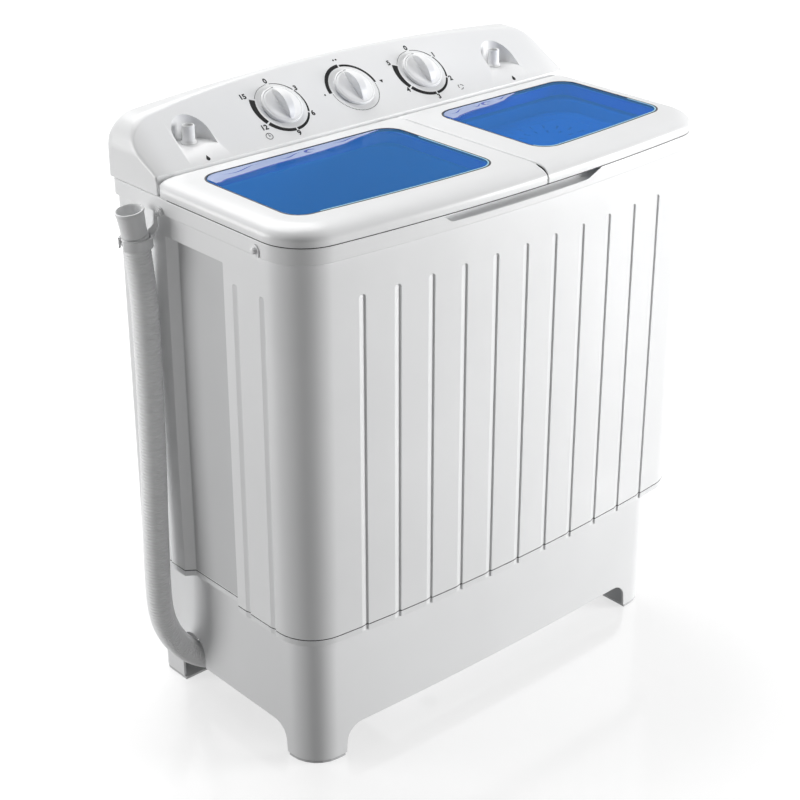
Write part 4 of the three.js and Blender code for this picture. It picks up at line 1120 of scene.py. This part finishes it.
def window_ring(lid, grow):
    """A window's outline with the same number of points, side for side, as its lid's."""
    x0, x1 = lid["window"][0] - grow, lid["window"][1] + grow
    back = WINDOW_BACK + grow
    r = WINDOW_CORNER + grow
    n = RING_STEPS

    def front(x):
        return WINDOW_FRONT - grow + BOW * (x / HALF_WIDTH) ** 2

    far_low = front(x1 - r) + r
    near_low = front(x0 + r) + r
    ring = [(x, back) for x in spread(x0 + r, x1 - r, n["rear"])]
    ring += arc(x1 - r, back - r, r, QUARTER, 0, n["rear_corner"])[1:]
    ring += [(x1, y) for y in spread(back - r, far_low, n["outer"])[1:]]
    ring += arc(x1 - r, far_low, r, 0, -QUARTER, n["front_corner"])[1:]
    ring += [(x, front(x)) for x in spread(x1 - r, x0 + r, n["front"])[1:]]
    ring += arc(x0 + r, near_low, r, -QUARTER, -2 * QUARTER, n["split_corner"])[1:]
    ring += [(x0, y) for y in spread(near_low, back - r, n["split"])[1:]]
    return ring + arc(x0 + r, back - r, r, 2 * QUARTER, QUARTER, n["split_corner"])[1:-1]


def casing_inset(x, y):
    """How far a place lies inside the casing's outer and front edges."""
    if x > CASING.x and y < CASING.y:
        return FRONT_CORNER - math.hypot(x - CASING.x, y - CASING.y)
    return min(HALF_WIDTH - x, CASING.bow_r - math.hypot(x, CASING.bow_y - y))


def quarter_drop(off, across, down):
    """How far an elliptic edge rounding has fallen at a distance in from the edge."""
    if off >= across:
        return 0.0
    return down * (1 - math.sqrt(max(0.0, 1 - (1 - off / across) ** 2)))


def lid_surface(lid, x, y):
    """Height of a lid's top at a place, from its three edge roundings."""
    outer = quarter_drop(max(casing_inset(x, y), 0), LID_ROUND, LID_DROP)
    split = quarter_drop(max(x - lid["split"], 0), SPLIT_ROUND, SPLIT_ROUND)
    rear = quarter_drop(max(LID_BACK - y, 0), LID_BACK - HINGE_Y, LID_TOP - HINGE_Z)
    return LID_FACE - (outer ** 2.4 + split ** 2.4 + rear ** 2.4) ** (1 / 2.4)


def lid_foot(y):
    """Height of a lid's lower edge: it clears the collar as the lid turns about its pins."""
    foot = HINGE_Z - SEAM_Z - 0.25
    if y <= HINGE_Y:
        return HINGE_Z - foot
    return HINGE_Z - math.sqrt(foot ** 2 - (y - HINGE_Y) ** 2)


def lid_frame(name):
    """A lid's frame: crowned outer edges, a rim round the window, a hollow underside and two hinge lugs."""
    lid = LIDS[name]
    side = lid["side"]
    top = LID_FACE
    lip = SEAM_Z + 4

    def on_top(ring, down=0.0):
        return [(side * x, y, lid_surface(lid, x, y) - down) for x, y in ring]

    def level(ring, z):
        return [(side * x, y, z) for x, y in ring]

    def on_foot(insets, up):
        return [(side * x, y, lid_foot(y) + up) for x, y in lid_ring(lid, *insets)]

    rings = [on_foot((1.0, 0.8, 0.4), 0), on_foot((0.3, 0.25, 0.1), 0.25), on_foot((0, 0, 0), 1.0)]
    splits = (0, 0.08, 0.3, 0.62, 1.0, 1.4, 1.8, 2.6, 3.6, 5, 7, 9, 11)
    for i, split in enumerate(splits):
        share = 1 - math.cos(QUARTER * i / (len(splits) - 1))
        rings.append(on_top(lid_ring(lid, LID_ROUND * share, split, (LID_BACK - HINGE_Y) * share)))
    inner = lid_ring(lid, LID_ROUND, splits[-1], LID_BACK - HINGE_Y)
    rim = window_ring(lid, 2.2)
    rings += [on_top(blend(inner, rim, part)) for part in (0.35, 0.7, 1)]
    seat = [(1.5, top - 0.1), (0.95, top - 0.4), (0.75, top - 0.9), (0.75, top - 3.4), (-3, top - 3.4),
            (-3.1, top - 4.2), (-3.1, lip), (-2, lip - 1), (0.5, lip - 1), (1.5, lip), (1.5, top - 4)]
    rings += [level(window_ring(lid, grow), z) for grow, z in seat]
    rings.append(level(blend(inner, rim, 0.5), top - 3))
    rings += [on_top(lid_ring(lid, outer, inset, inset), 3) for outer, inset in ((22, 9), (12, 6), (6, 4))]
    rings += [on_foot((3, 3, 3), 1.0), on_foot((2.6, 2.6, 2.6), 0)]
    parts = [loft(name + "_shell", rings, "loop")]
    lug = [(HINGE_Y + LUG_R, LID_TOP - 2), (HINGE_Y - LUG_R, LID_TOP - 2),
           *arc(HINGE_Y, HINGE_Z, LUG_R, math.pi, 2 * math.pi, 16)]
    room = EAR_HALF + SLOT_GAP
    start = EAR_HALF + LUG_GAP
    for ear, inward in ear_places(name):
        slot = rounded_rect(ear - room, ear + room, HINGE_Y - 7, LID_BACK + 2, 0.8, 2)
        carve(parts[0], prism("slot", slot, SEAM_Z - 15, SLOT_TOP))
        near, far = sorted((ear + inward * start, ear + inward * (start + LUG_THICK)))
        parts.append(pinned_plate("lug", lug, near, far))
    whole = gather(name + "_shell", parts)
    return piece(whole, WHITE, name, [name + "_frame"], sharp=35)


def lid_window(name):
    """The tinted window with its bevelled edge and skirt, a painted highlight strip along its front edges,
    the black gasket round it and the printed wave.
    """
    lid = LIDS[name]
    side = lid["side"]

    def skin(label, rows, ends="loop"):
        """A skin over the window's outline at (growth, depth below the lid's face) rows."""
        return loft(f"{name}_{label}", [
            [(side * x, y, LID_FACE - down) for x, y in window_ring(lid, grow)] for grow, down in rows], ends)

    pane = skin("pane", [(-1.6, 3.2), (-0.2, 2.8), (-0.2, 0.9), (-0.6, 0.35), (-1.7, 0.05), (-8, 0)], "flat")
    piece(pane, BLUE, name, [name + "_window"], sharp=40)
    gasket = skin("gasket", [(-0.25, 3.3), (1.7, 3.3), (1.7, 0.1), (1.4, -0.04), (-0.25, -0.04)])
    piece(gasket, GASKET, name, sharp=60)
    skirt = skin("skirt", [(-3.3, 3.6), (-3.3, 15.6), (-4, 16), (-4.7, 15.6), (-4.7, 3.6)])
    piece(skirt, SKIRT, name, sharp=50)
    # painted highlight: a pale cyan strip just inside the pane's front and outer edges, where light would
    # glint on the bevel
    runs = [[(side * x, y) for x, y in window_ring(lid, grow)[slice(*lid["glint"])]] for grow in (-0.7, -2.2)]
    glint = ribbon(name + "_painted_glint", *runs, LID_FACE - 0.3, LID_FACE + 0.02)
    piece(glint, PAINTED_GLINT, name, flats=False)
    wave_print(name)


def wave_print(name):
    """A printed band along a window's back edge with a wavy border, and a few curved strokes in it."""
    lid = LIDS[name]
    side = lid["side"]
    end = lid["wave"]
    x0, x1 = lid["window"]

    def across(t):
        return x1 - (x1 - x0) * t if side < 0 else x0 + (x1 - x0) * t

    def rear_edge(x):
        r = WINDOW_CORNER
        inside = min(x - x0, x1 - x)
        drop = 0 if inside >= r else r - math.sqrt(max(0.0, r * r - (r - inside) ** 2))
        return WINDOW_BACK - 2.2 - drop

    def printed(label, upper, lower, look, low, high):
        rows = [[(side * x, y) for x, y in line] for line in (upper, lower)]
        strip = ribbon(name + label, *rows, LID_FACE + low, LID_FACE + high)
        piece(strip, look, name, flats=False)

    def stroke(label, line, width, look, low):
        """A line of a width that changes along it."""
        halves = [width(i / (len(line) - 1)) / 2 for i in range(len(line))]
        upper = [(x, y + half) for (x, y), half in zip(line, halves)]
        lower = [(x, y - half) for (x, y), half in zip(line, halves)]
        printed(label, upper, lower, look, low, low + 0.03)

    def swell(part):
        return 0.15 + 1.7 * math.sin(math.pi * part) ** 1.5

    upper, lower = [], []
    for t in spread(0.015, end, 72):
        x = across(t)
        part = t / end
        reach = (24 - 11 * part) * min(1, (1 - part) * 4 + 0.04) + 0.9 * math.sin(14 * part)
        upper.append((x, rear_edge(x)))
        lower.append((x, max(rear_edge(x) - max(reach, 0.6), WINDOW_BACK - 30)))
    printed("_print", upper, lower, WAVE, 0.01, 0.03)
    stroke("_print_border", lower, lambda p: 2.6 - 1.2 * p, WAVE_DEEP, 0.02)
    strokes = [(0.1, 0.3, 9, 3.5, WAVE_DEEP), (0.14, 0.36, 13, 3, WAVE), (0.4, 0.54, 8, 3, WAVE_DEEP),
               (0.44, 0.62, 12, 2.5, WAVE), (0.72, 0.86, 5, 2, WAVE_DEEP)]
    for index, (start, stop, offset, swing, look) in enumerate(strokes):
        line = []
        for phase in spread(0, 1, 24):
            x = across((start + (stop - start) * phase) * end)
            line.append((x, rear_edge(x) - offset - swing * math.sin(phase * 5.2)))
        stroke(f"_print_stroke_{index + 1}", line, swell, look, 0.05)
    x = across(0.58 * end)
    y = rear_edge(x) - 9
    rims = []
    for grow in (-1.1, 1.1):
        reach = [4.6 + grow * (0.3 + math.sin(math.pi * i / 24)) for i in range(25)]
        turns = spread(0.3, 4.6, 24)
        rims.append([(x + side * r * math.cos(a) * 1.5, y + r * math.sin(a)) for r, a in zip(reach, turns)])
    printed("_print_curl", *rims, WAVE_DEEP, 0.05, 0.08)


# ---- Console ----
def console_section(x, inset):
    """The console's outline in (Y, Z) at a place across it. Each of its sides falls inwards towards the
    console's end by a round of its own."""
    half = CONSOLE_HALF - inset

    def fall(which):
        r = END_ROUND[which]
        part = unit((abs(x) - half + r) / r)
        return inset + r * (1 - math.sqrt(1 - part * part))

    along = Vector((math.cos(TILT), math.sin(TILT)))
    down = Vector((math.sin(TILT), -math.cos(TILT)))
    foot = Vector((FACE_FOOT, LID_TOP))
    low_point = foot + down * fall("foot")
    high_point = foot + along * FACE_LENGTH + down * fall("crest")
    slope = (high_point - low_point).normalized()
    front = FACE_FOOT + fall("front")
    rear = CONSOLE_REAR - fall("rear")
    top = CONSOLE_TOP - CONSOLE_ARCH * (x / CONSOLE_HALF) ** 2 - fall("top")
    bottom = LID_BOTTOM - (5 if inset else 0)
    face_foot = low_point + slope * ((front + RELIEF_BACK - low_point.x) / slope.x)
    crest = low_point + slope * ((top - low_point.y) / slope.y)
    room = (rear - crest.x) * 0.98
    rear_r = min(10 - inset, room * 0.7)
    lean = math.tan(slope.angle(Vector((1, 0))) / 2)
    crest_r = min(10 + 10 * unit((abs(x) - 200) / 100) - inset, (room - rear_r) / lean)
    outline = [(front, bottom), (front, RELIEF_Z), face_foot, (crest.x, top), (rear, top), (rear, bottom)]
    return fillet(outline, [0, 0, 0.5 if inset else 1.6, crest_r, rear_r, 0], 8)


def console_block(inset):
    """The console as a solid, or its hollow when inset."""
    half = CONSOLE_HALF - inset
    ends = [0, 0.04, 0.15, 0.35, 0.65, 1.05, 1.55, 2.1, 3, 4.2, 6, 8.4, 11.5, 15, 19, 24, 29, 34, 40, 48, 58,
            70]
    places = [off - half for off in ends] + spread(-230, 230, 24) + [half - off for off in reversed(ends)]
    rings = [[(x, y, z) for y, z in console_section(x, inset)] for x in places]
    return loft("console_block", rings)


def niche(x, grow):
    """The space of a water inlet niche: round at the back, open to the front."""
    r = NICHE_R + grow
    outline = [*arc(x, NICHE_Y, r, 0, math.pi, 24), (x - r, NICHE_FRONT), (x + r, NICHE_FRONT)]
    return prism("niche", outline, NICHE_FLOOR - grow, NICHE_TOP)


def console():
    """The console shell, hollow, with its two niches, the knob holes and the opening at the back."""
    shell = console_block(0)
    hollow = console_block(WALL)
    for x in NICHE_X:
        carve(hollow, niche(x, WALL))
    carve(shell, hollow)
    for x in NICHE_X:
        carve(shell, niche(x, 0))
    opening = prism("opening", rounded_rect(*CONSOLE_OPENING, 8), -6, 6)
    carve(shell, move(opening, back_place(CONSOLE_REAR)))
    for node in KNOBS:
        hole = prism("hole", circle(0, 0, STEM_R + 1.5), -8, 8)
        carve(shell, move(hole, face_place(middle(node).x, KNOB_UP)))
    bevel(shell, 0.7, 2, 50)
    return piece(shell, WHITE, stands_for=["console_shell"], sharp=40)


def knob(node):
    """A control knob: a low disc with a fine groove, an arched grip across it and a pointer mark."""
    place = face_place(middle(node).x, KNOB_UP)
    profile = [(0, 0.6), (25.2, 0.6), (25.9, 1.2), (26, 2.8), (25.6, 3.7), (24.8, 4.2), (23.9, 4.3),
               (23.5, 3.9), (23.1, 3.9), (22.7, 4.4), (21, 4.9), (12, 5.7), (0, 6)]
    disc = lathe("disc", profile, steps=96, ends="none")
    rise = GRIP_TOP - GRIP_FOOT
    r = (GRIP_REACH ** 2 + rise ** 2) / (2 * rise)
    sweep = math.asin(GRIP_REACH / r)
    arch = arc(0, GRIP_TOP - r, r, QUARTER - sweep, QUARTER + sweep, 48)
    grip = move(prism("grip", arch, -8, 8), side_place())
    plan = [(GRIP_HALF * math.copysign(abs(x) ** 0.55, x), GRIP_LENGTH / 2 * y)
            for x, y in circle(0, 0, 1, 72)]
    carve(grip, prism("plan", plan, -4, 20), "INTERSECT")
    settle(bevel(grip, 1.3, 4, 50))
    stem = prism("stem", circle(0, 0, STEM_R), -12, 2)
    body = carve(carve(disc, grip, "UNION"), stem, "UNION")
    piece(move(body, place), KNOB, KNOBS[node], [node], sharp=38)
    mark = move(prism(node + "_mark", rounded_rect(-1.8, 1.8, 24, 24.7, 0.3, 3), 4.2, 4.45), place)
    piece(mark, MARK, KNOBS[node], flats=False)


# ---- Prints on the console ----
def inked(outline):
    """A thin printed shape on the face."""
    return prism("print", outline, *INK)


def on_dial(r, degrees):
    """A place at a distance from a dial's middle, degrees clockwise from the top."""
    a = math.radians(degrees)
    return r * math.sin(a), r * math.cos(a)


def plate_arc(start, stop, r, width):
    """A thin printed arc about a dial; width gives its width at an angle."""
    turns = spread(start, stop, max(3, int(abs(stop - start) / 3)))
    rims = [[on_dial(r + width(a), a) for a in turns], [on_dial(r, a) for a in turns]]
    return ribbon("print", *rims, *INK)


def dots(r, start, stop, step, size):
    """A row of small dots round a dial."""
    count = int((stop - start) / step) + 1
    return [inked(circle(*on_dial(r, start + i * step), size, 8)) for i in range(count)]


def figure(text, x, up):
    """A number as a thin solid on the face."""
    curve = bpy.data.curves.new("figure", "FONT")
    curve.body = text
    curve.size = FIGURE_SIZE * MM
    curve.align_x = "CENTER"
    curve.align_y = "CENTER"
    curve.extrude = 0.07 * MM
    curve.offset = 0.32 * MM
    curve.resolution_u = 4
    obj = linked("figure", curve)
    mesh = bpy.data.meshes.new_from_object(obj.evaluated_get(bpy.context.evaluated_depsgraph_get()))
    bpy.data.objects.remove(obj)
    mesh.transform(Matrix.Translation(Vector((x, up, sum(INK) / 2)) * MM))
    return linked("figure", mesh)


def timer_print(numbers):
    """A timer's scale: an arc that thickens clockwise between the numbers, and a dotted way back to 0."""
    def width(a):
        return ARC_THIN + ARC_SWELL * (a / DIAL_SWEEP) ** 1.5

    parts = []
    for i in range(len(numbers) - 1):
        parts.append(plate_arc(i * DIAL_STEP + (1 if i else 5), (i + 1) * DIAL_STEP - 2.4, DIAL_R, width))
    parts += dots(DIAL_R + 0.2, DIAL_SWEEP + 3, 356, 2.6, 0.45)
    for i, number in enumerate(numbers):
        turn = i * DIAL_STEP
        # a number of two figures on the left needs more room
        wide = 3 if turn > 180 and number > 9 else 0
        parts.append(figure(str(number), *on_dial(DIAL_R + width(turn) + FIGURE_GAP + wide, turn)))
    return parts


def selector_print():
    """The selector's scale: two arcs, a dotted lower half and a small mark at each of the three places."""
    parts = [plate_arc(-90, -2, DIAL_R, lambda a: 4.6), plate_arc(1.5, 88, DIAL_R + 0.4, lambda a: 3)]
    parts += dots(DIAL_R + 0.6, 93, 268, 3.2, 0.6)
    parts += [inked(circle(x, up, 1.2, 14)) for x, up in ((-2, MARK_R), (2, MARK_R), (-MARK_R, 0))]
    return [*parts, inked([(MARK_R - 2.5, 2), (MARK_R + 2.5, 2), (MARK_R, -2.4)])]


def clock_icon(x, up):
    """A small clock: a ring and two hands."""
    low, high = INK
    section = ((4.6, low), (4.6, high), (3.9, high), (3.9, low))
    ring = loft("print", [at_height(circle(x, up, r), z) for r, z in section], "loop")
    long_hand = inked(rounded_rect(x - 0.35, x + 0.35, up - 0.3, up + 3, 0.3, 3))
    short_hand = inked(rounded_rect(x - 0.3, x + 2.2, up - 0.35, up + 0.35, 0.3, 3))
    return [ring, long_hand, short_hand]


def spin_icon(x, up):
    """A small turning mark: three curved strokes round a point."""
    strokes = []
    for i in range(3):
        turns = list(enumerate(spread(i * 2.09, i * 2.09 + 1.5, 8)))
        rims = [[(x + (r - slim * k) * math.cos(a), up + (r - slim * k) * math.sin(a)) for k, a in turns]
                for r, slim in ((4.6, 0.15), (3.6, 0.12))]
        strokes.append(ribbon("print", *rims, *INK))
    return strokes


def drop_icon(x, up):
    """A small water drop."""
    return inked([(x, up + 4.6), *arc(x, up - 0.6, 2.4, math.pi * 0.85, math.pi * 2.15, 14)])


def console_prints():
    """All prints on the console's face, in one ink."""
    wash, selector, spin = [middle(node).x for node in KNOBS]
    scales = ((wash, timer_print((0, 3, 6, 9, 12, 15))), (selector, selector_print()),
              (spin, timer_print((0, 1, 2, 3, 4, 5))))
    prints = [shift(part, x, KNOB_UP) for x, parts in scales for part in parts]
    prints += clock_icon(wash - ICON_ASIDE, ICON_UP)
    prints += spin_icon(spin + ICON_ASIDE, ICON_UP)
    prints += [drop_icon(x, DROP_UP) for x in NICHE_X]
    whole = move(gather("console_print", prints), face_place())
    return piece(whole, PRINT, flats=False)


def inlet_spout(node):
    """A hollow spout on a small flange."""
    at = middle(node)
    floor = NICHE_FLOOR
    top = corners(node)[1].z
    profile = [(3.4, floor - 14), (4.8, floor - 14), (4.8, floor + 0.2), (9, floor + 0.2), (9, floor + 1.2),
               (8.5, floor + 2), (7.8, floor + 2.8), (7.3, floor + 4.4), (7.15, floor + 10), (7.1, top - 1),
               (6.8, top - 0.3), (6.2, top), (5.6, top - 0.3), (5.3, top - 1), (4.4, floor + 5)]
    spout = lathe(node + "_detail", profile, at.x, at.y, 40)
    return piece(spout, CLIP, stands_for=[node], sharp=50)


# ---- Tubs and what is in them ----
def tub(node, over, hole_r):
    """An open tub: round upright corners, a coved floor, a rounded rim and a hole for the shaft."""
    low, high = corners(node)
    rect = (low.x, high.x, low.y, high.y)
    shaft = middle(over)
    hole = arc(shaft.x, shaft.y, hole_r, -1.1, 2 * math.pi - 1.1, 60)[:-1]
    cove = spread(0, QUARTER, 5)
    top = high.z
    r, inner_r = TUB_COVES
    rows = [(low.z + r * (1 - math.cos(a)), -r * (1 - math.sin(a))) for a in cove]
    rows += [(top - 1, 0), (top - 0.3, -0.4), (top, -1.5), (top - 0.3, -2.6), (top - 1, -TUB_WALL)]
    rows += [(low.z + TUB_WALL + inner_r * (1 - math.cos(a)), -TUB_WALL - inner_r * (1 - math.sin(a)))
             for a in reversed(cove)]
    rings = [at_height(grown_rect(rect, TUB_CORNER, grow), z) for z, grow in rows]
    return loft(node + "_shell", [at_height(hole, low.z), *rings, at_height(hole, low.z + TUB_WALL)], "loop")


def tubs():
    """The wash tub with its drain hole, and the housing of the spin basket."""
    wash = tub("wash_tub", "pulsator", 12)
    drain = circle(middle("drain_valve_plunger").x, DRAIN_Y, DRAIN_R)
    carve(wash, prism("hole", drain, TUB_FLOOR - 2, TUB_FLOOR + 8))
    piece(wash, INNER, stands_for=["wash_tub"], sharp=38)
    piece(tub("spin_housing", "spin_basket", 14), INNER, stands_for=["spin_housing"])


def spoke(turn):
    """The directions outwards and aside at an angle."""
    out = Vector((math.cos(turn), math.sin(turn)))
    return out, Vector((-out.y, out.x))


def pulsator():
    """The pulsator: a dished disc with a hub and three curved vanes."""
    at = middle("pulsator")
    low, high = corners("pulsator")
    z = low.z
    rows = [(0, 6), (8.3, 6), (8.3, 0), (90.6, 0), (91.7, 0.7), (91.9, 3.4), (91, 4.8), (86, 5.5), (70, 6.4),
            (52, 8.6), (38, 12), (30, 15.4), (25, 20), (21, 23.4), (13, 25.4), (0, high.z - z)]
    parts = [lathe("dish", [(r, z + up) for r, up in rows], at.x, at.y, 96, "none")]
    for i in range(VANES):
        rings = []
        for part in spread(0, 1, 14):
            out, aside = spoke(i * 2 * math.pi / VANES + VANE_TWIST * part * part)
            reach = VANE_START + VANE_LENGTH * part
            swell = math.sin(math.pi * (0.06 + 0.88 * part)) ** 0.6
            half = VANE_HALF * swell
            x = at.x + out.x * reach
            y = at.y + out.y * reach
            rings.append([(x + aside.x * u * half, y + aside.y * u * half,
                           z + 7 + v * (VANE_RISE * swell if v > 0 else 4)) for u, v in circle(0, 0, 1, 16)])
        parts.append(loft("vane", rings))
    return piece(gather("pulsator_dish", parts), INNER, "agitator", ["pulsator"], sharp=38)


def inner_cover():
    """The spin tub's inner cover: a plate with a raised rim, a pressed oval and two rings of slots."""
    low, high = corners("spin_inner_cover")
    rect = (low.x, high.x, low.y, high.y)
    z0, z1 = low.z, high.z
    plate = stack("inner_cover_plate", lambda grow: grown_rect(rect, COVER_CORNER, grow), [
        (z0, -0.8), (z0 + 0.8, 0), (z1 - 0.8, 0), (z1, -0.8), (z1, -4), (z1 - 1, -5.4), (z1 - 1, -20),
        (z1 - 1.9, -21), (z1 - 1.9, -23), (z1 - 1, -24)])
    cutters = []
    for r, count, half in COVER_SLOTS:
        for i in range(count):
            out, aside = spoke(2 * math.pi * i / count)
            outline = [Vector(COVER_MIDDLE) + out * (r + along) + aside * width
                       for along, width in ((-half, -0.9), (half, -1.8), (half, 1.8), (-half, 0.9))]
            cutters.append(prism("slot", [tuple(p) for p in outline], z0 - 2, z1 + 2))
    carve(plate, gather("slots", cutters))
    return piece(plate, INNER, stands_for=["spin_inner_cover"], sharp=35)


# ---- Plates with slots, on the tub's back wall and at the back ----
def slotted_plate(node, name, corner, edge, slots, slot_r, steps=8):
    """A rounded plate as large as its node, lying flat, with slots through it."""
    low, high = corners(node)
    thick = high.y - low.y
    plate = prism(name, rounded_rect(low.x, high.x, low.z, high.z, corner), 0, thick, edge)
    cutters = [prism("slot", rounded_rect(*slot, slot_r, steps), -2, thick + 2) for slot in slots]
    return carve(plate, gather("slots", cutters))


def wall_fitting(node, slots):
    """A slotted plate on the tub's back wall and, behind it, a fine net."""
    low, high = corners(node)
    name = node + "_plate"
    plate = slotted_plate(node, name, 9, 1, slots, 1.8, 4)
    net = prism("net", rounded_rect(low.x + 4, high.x - 4, low.z + 4, high.z - 4, 6), 0.4, 1)
    whole = move(gather(name, [plate, net]), back_place(high.y))
    return piece(whole, INNER, stands_for=[node], sharp=38)


def tub_fittings():
    """The lint filter and the overflow grille."""
    low, high = corners("lint_filter")
    wall_fitting("lint_filter", [(low.x + 6, high.x - 6, z, z + 12) for z in LINT_SLOTS])
    low, high = corners("overflow_grille")
    wall_fitting("overflow_grille", [(x, x + 5, low.z + 7, high.z - 7) for x in GRILLE_SLOTS])


def rear_cover():
    """The access cover: chamfered, with a pressed field and a row of vents."""
    node = "rear_access_cover"
    low, high = corners(node)
    vents = [(60, 170, z, z + 8) for z in REAR_VENTS]
    panel = slotted_plate(node, "rear_cover_panel", 10, 0.6, vents, 3.9)
    field = rounded_rect(low.x + 16, high.x - 16, low.z + 16, high.z - 26, 8)
    carve(panel, prism("field", field, -1, 0.9))
    return piece(move(panel, back_place(high.y)), WARM, stands_for=[node])


def console_back():
    """The cover at the console's back, with a row of narrow vents."""
    node = "console_back_cover"
    vents = [(x, x + 4, 676, 702) for x in CONSOLE_VENTS]
    panel = slotted_plate(node, "console_back_panel", 8, 0.6, vents, 1.9, 4)
    return piece(move(panel, back_place(corners(node)[1].y)), WARM, stands_for=[node])


def rear_screw(node):
    """A screw with a domed head and a cross slot."""
    at = middle(node)
    profile = [(0, 0.1), (2.6, 0.3), (4.2, 0.9), (4.9, 1.7), (4.9, 2.5), (0, 2.5)]
    head = lathe(node + "_head", profile, steps=28, ends="none")
    for half_x, half_y in ((3, 0.6), (0.6, 3)):
        carve(head, prism("slot", rounded_rect(-half_x, half_x, -half_y, half_y, 0.2, 2), -1, 1.3))
    head = move(shift(head, at.x, at.z), back_place(corners(node)[1].y))
    return piece(head, STEEL, stands_for=[node], sharp=35)


def cord_gland():
    """The gland of the power cord: a ribbed bush with a round lip."""
    node = "power_cord_gland"
    at = middle(node)
    low, high = corners(node)
    length = high.y - low.y
    profile = [(4, 0.4), (4.6, 0), (6, 0), (6.4, 0.5), (6.4, 2), (7, 2.2), (7, 3.2), (6.4, 3.4), (6.4, 4.4),
               (7.4, 4.6), (8.6, 5), (9, 5.6), (9, length), (4, length)]
    bush = move(lathe("cord_gland_bush", profile, at.x, at.z, 40), back_place(high.y))
    return piece(bush, BLACK, stands_for=[node])


# ---- Floor and light ----
def sheet_of(name, points, look):
    """A single four-cornered surface for the stage, in metres."""
    mesh = bpy.data.meshes.new(name)
    mesh.from_pydata(points, [], [(0, 1, 2, 3)])
    mesh.materials.append(look.material)
    return linked(name, mesh)


def stage():
    """A large pale floor with a faint mirror, a backdrop that only gloss can see, and soft lights."""
    look = Look("floor")
    distance = look.add("ShaderNodeVectorMath", {0: look.place()})
    distance.operation = "LENGTH"
    glow = look.between(distance.outputs["Value"], FLOOR_GLOW, 1.0, FLOOR_NEAR, FLOOR_FAR)
    look.fill(look.shader, {
        "Base Color": (FLOOR_TONE, FLOOR_TONE, FLOOR_TONE, 1),
        "Roughness": look.between(look.noise(3, 2), 0.1, 0.14),
        "Emission Color": (1, 1, 1, 1),
        "Emission Strength": glow,
        "IOR": 1.6,
    })
    half = FLOOR_HALF
    floor = sheet_of("floor", [(-half, -half, 0), (half, -half, 0), (half, half, 0), (-half, half, 0)], look)
    floor.location.z = FLOOR_Z
    floor.visible_diffuse = False
    look = Look("backdrop")
    look.fill(look.shader, {"Emission Color": (1, 1, 1, 1), "Emission Strength": BACKDROP_GLOW})
    backdrop = sheet_of("backdrop", BACKDROP, look)
    backdrop.visible_camera = False
    backdrop.visible_diffuse = False
    backdrop.visible_shadow = False
    world = bpy.data.worlds.new("world")
    world.use_nodes = True
    sky = world.node_tree.nodes["Background"]
    sky.inputs["Color"].default_value = (1, 1, 1, 1)
    sky.inputs["Strength"].default_value = AMBIENT
    bpy.context.scene.world = world
    bpy.context.scene.view_settings.view_transform = "Standard"
    for name, (place, target, width, height, power) in LIGHTS.items():
        lamp = bpy.data.lights.new(name, "AREA")
        lamp.shape = "RECTANGLE"
        lamp.size = width
        lamp.size_y = height
        lamp.energy = power
        obj = linked(name, lamp)
        obj.location = place
        obj.rotation_euler = (Vector(target) - Vector(place)).to_track_quat("-Z", "Y").to_euler()


# ---- CAD pieces that are seen as they are ----
FINISHES = {
    STEEL: ("_pin_", "spring", "bottom_tray", "pulsator_shaft", "wash_gearbox", "wash_motor_bracket",
            "motor_pulley", "spin_shaft", "brake_drum"),
    IRON: ("drive_pulley", "wash_motor", "spin_motor"),
    RUBBER_AND_PAINTED_SHADE: ("drive_belt", "drain_valve_plunger"),
    INNER: ("spin_basket",),
    HOSE: ("drain_elbow", "drain_valve_body"),
    FOOT: ("foot_pad",),
    WARM: ("timer_body", "selector_body"),
}


def finish_frame():
    """Gives the CAD pieces that have no visual of their own the first finish that fits their name."""
    for name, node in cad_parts.items():
        look = next((look for look, parts in FINISHES.items() if any(part in name for part in parts)), None)
        for slot in node.material_slots if look else ():
            slot.material = look


# ---- Assembly ----
cabinet()
base()
top_collar()
hinge_ears()
hose_peg("rear_hose_peg")
hose_peg("front_hose_peg")
for lid_name in LIDS:
    lid_frame(lid_name)
    lid_window(lid_name)
console()
for knob_node in KNOBS:
    knob(knob_node)
console_prints()
inlet_spout("wash_inlet_spout")
inlet_spout("spin_inlet_spout")
# painted shade: dark strips in the hem, the lid seam and the split between the lids, and a grey field in the
# hose recess
hem_joint()
lid_joint()
lid_seal()
recess_panel()
tubs()
pulsator()
inner_cover()
tub_fittings()
rear_cover()
rear_screw("rear_cover_screw_left")
rear_screw("rear_cover_screw_right")
cord_gland()
console_back()
stage()
finish_frame()
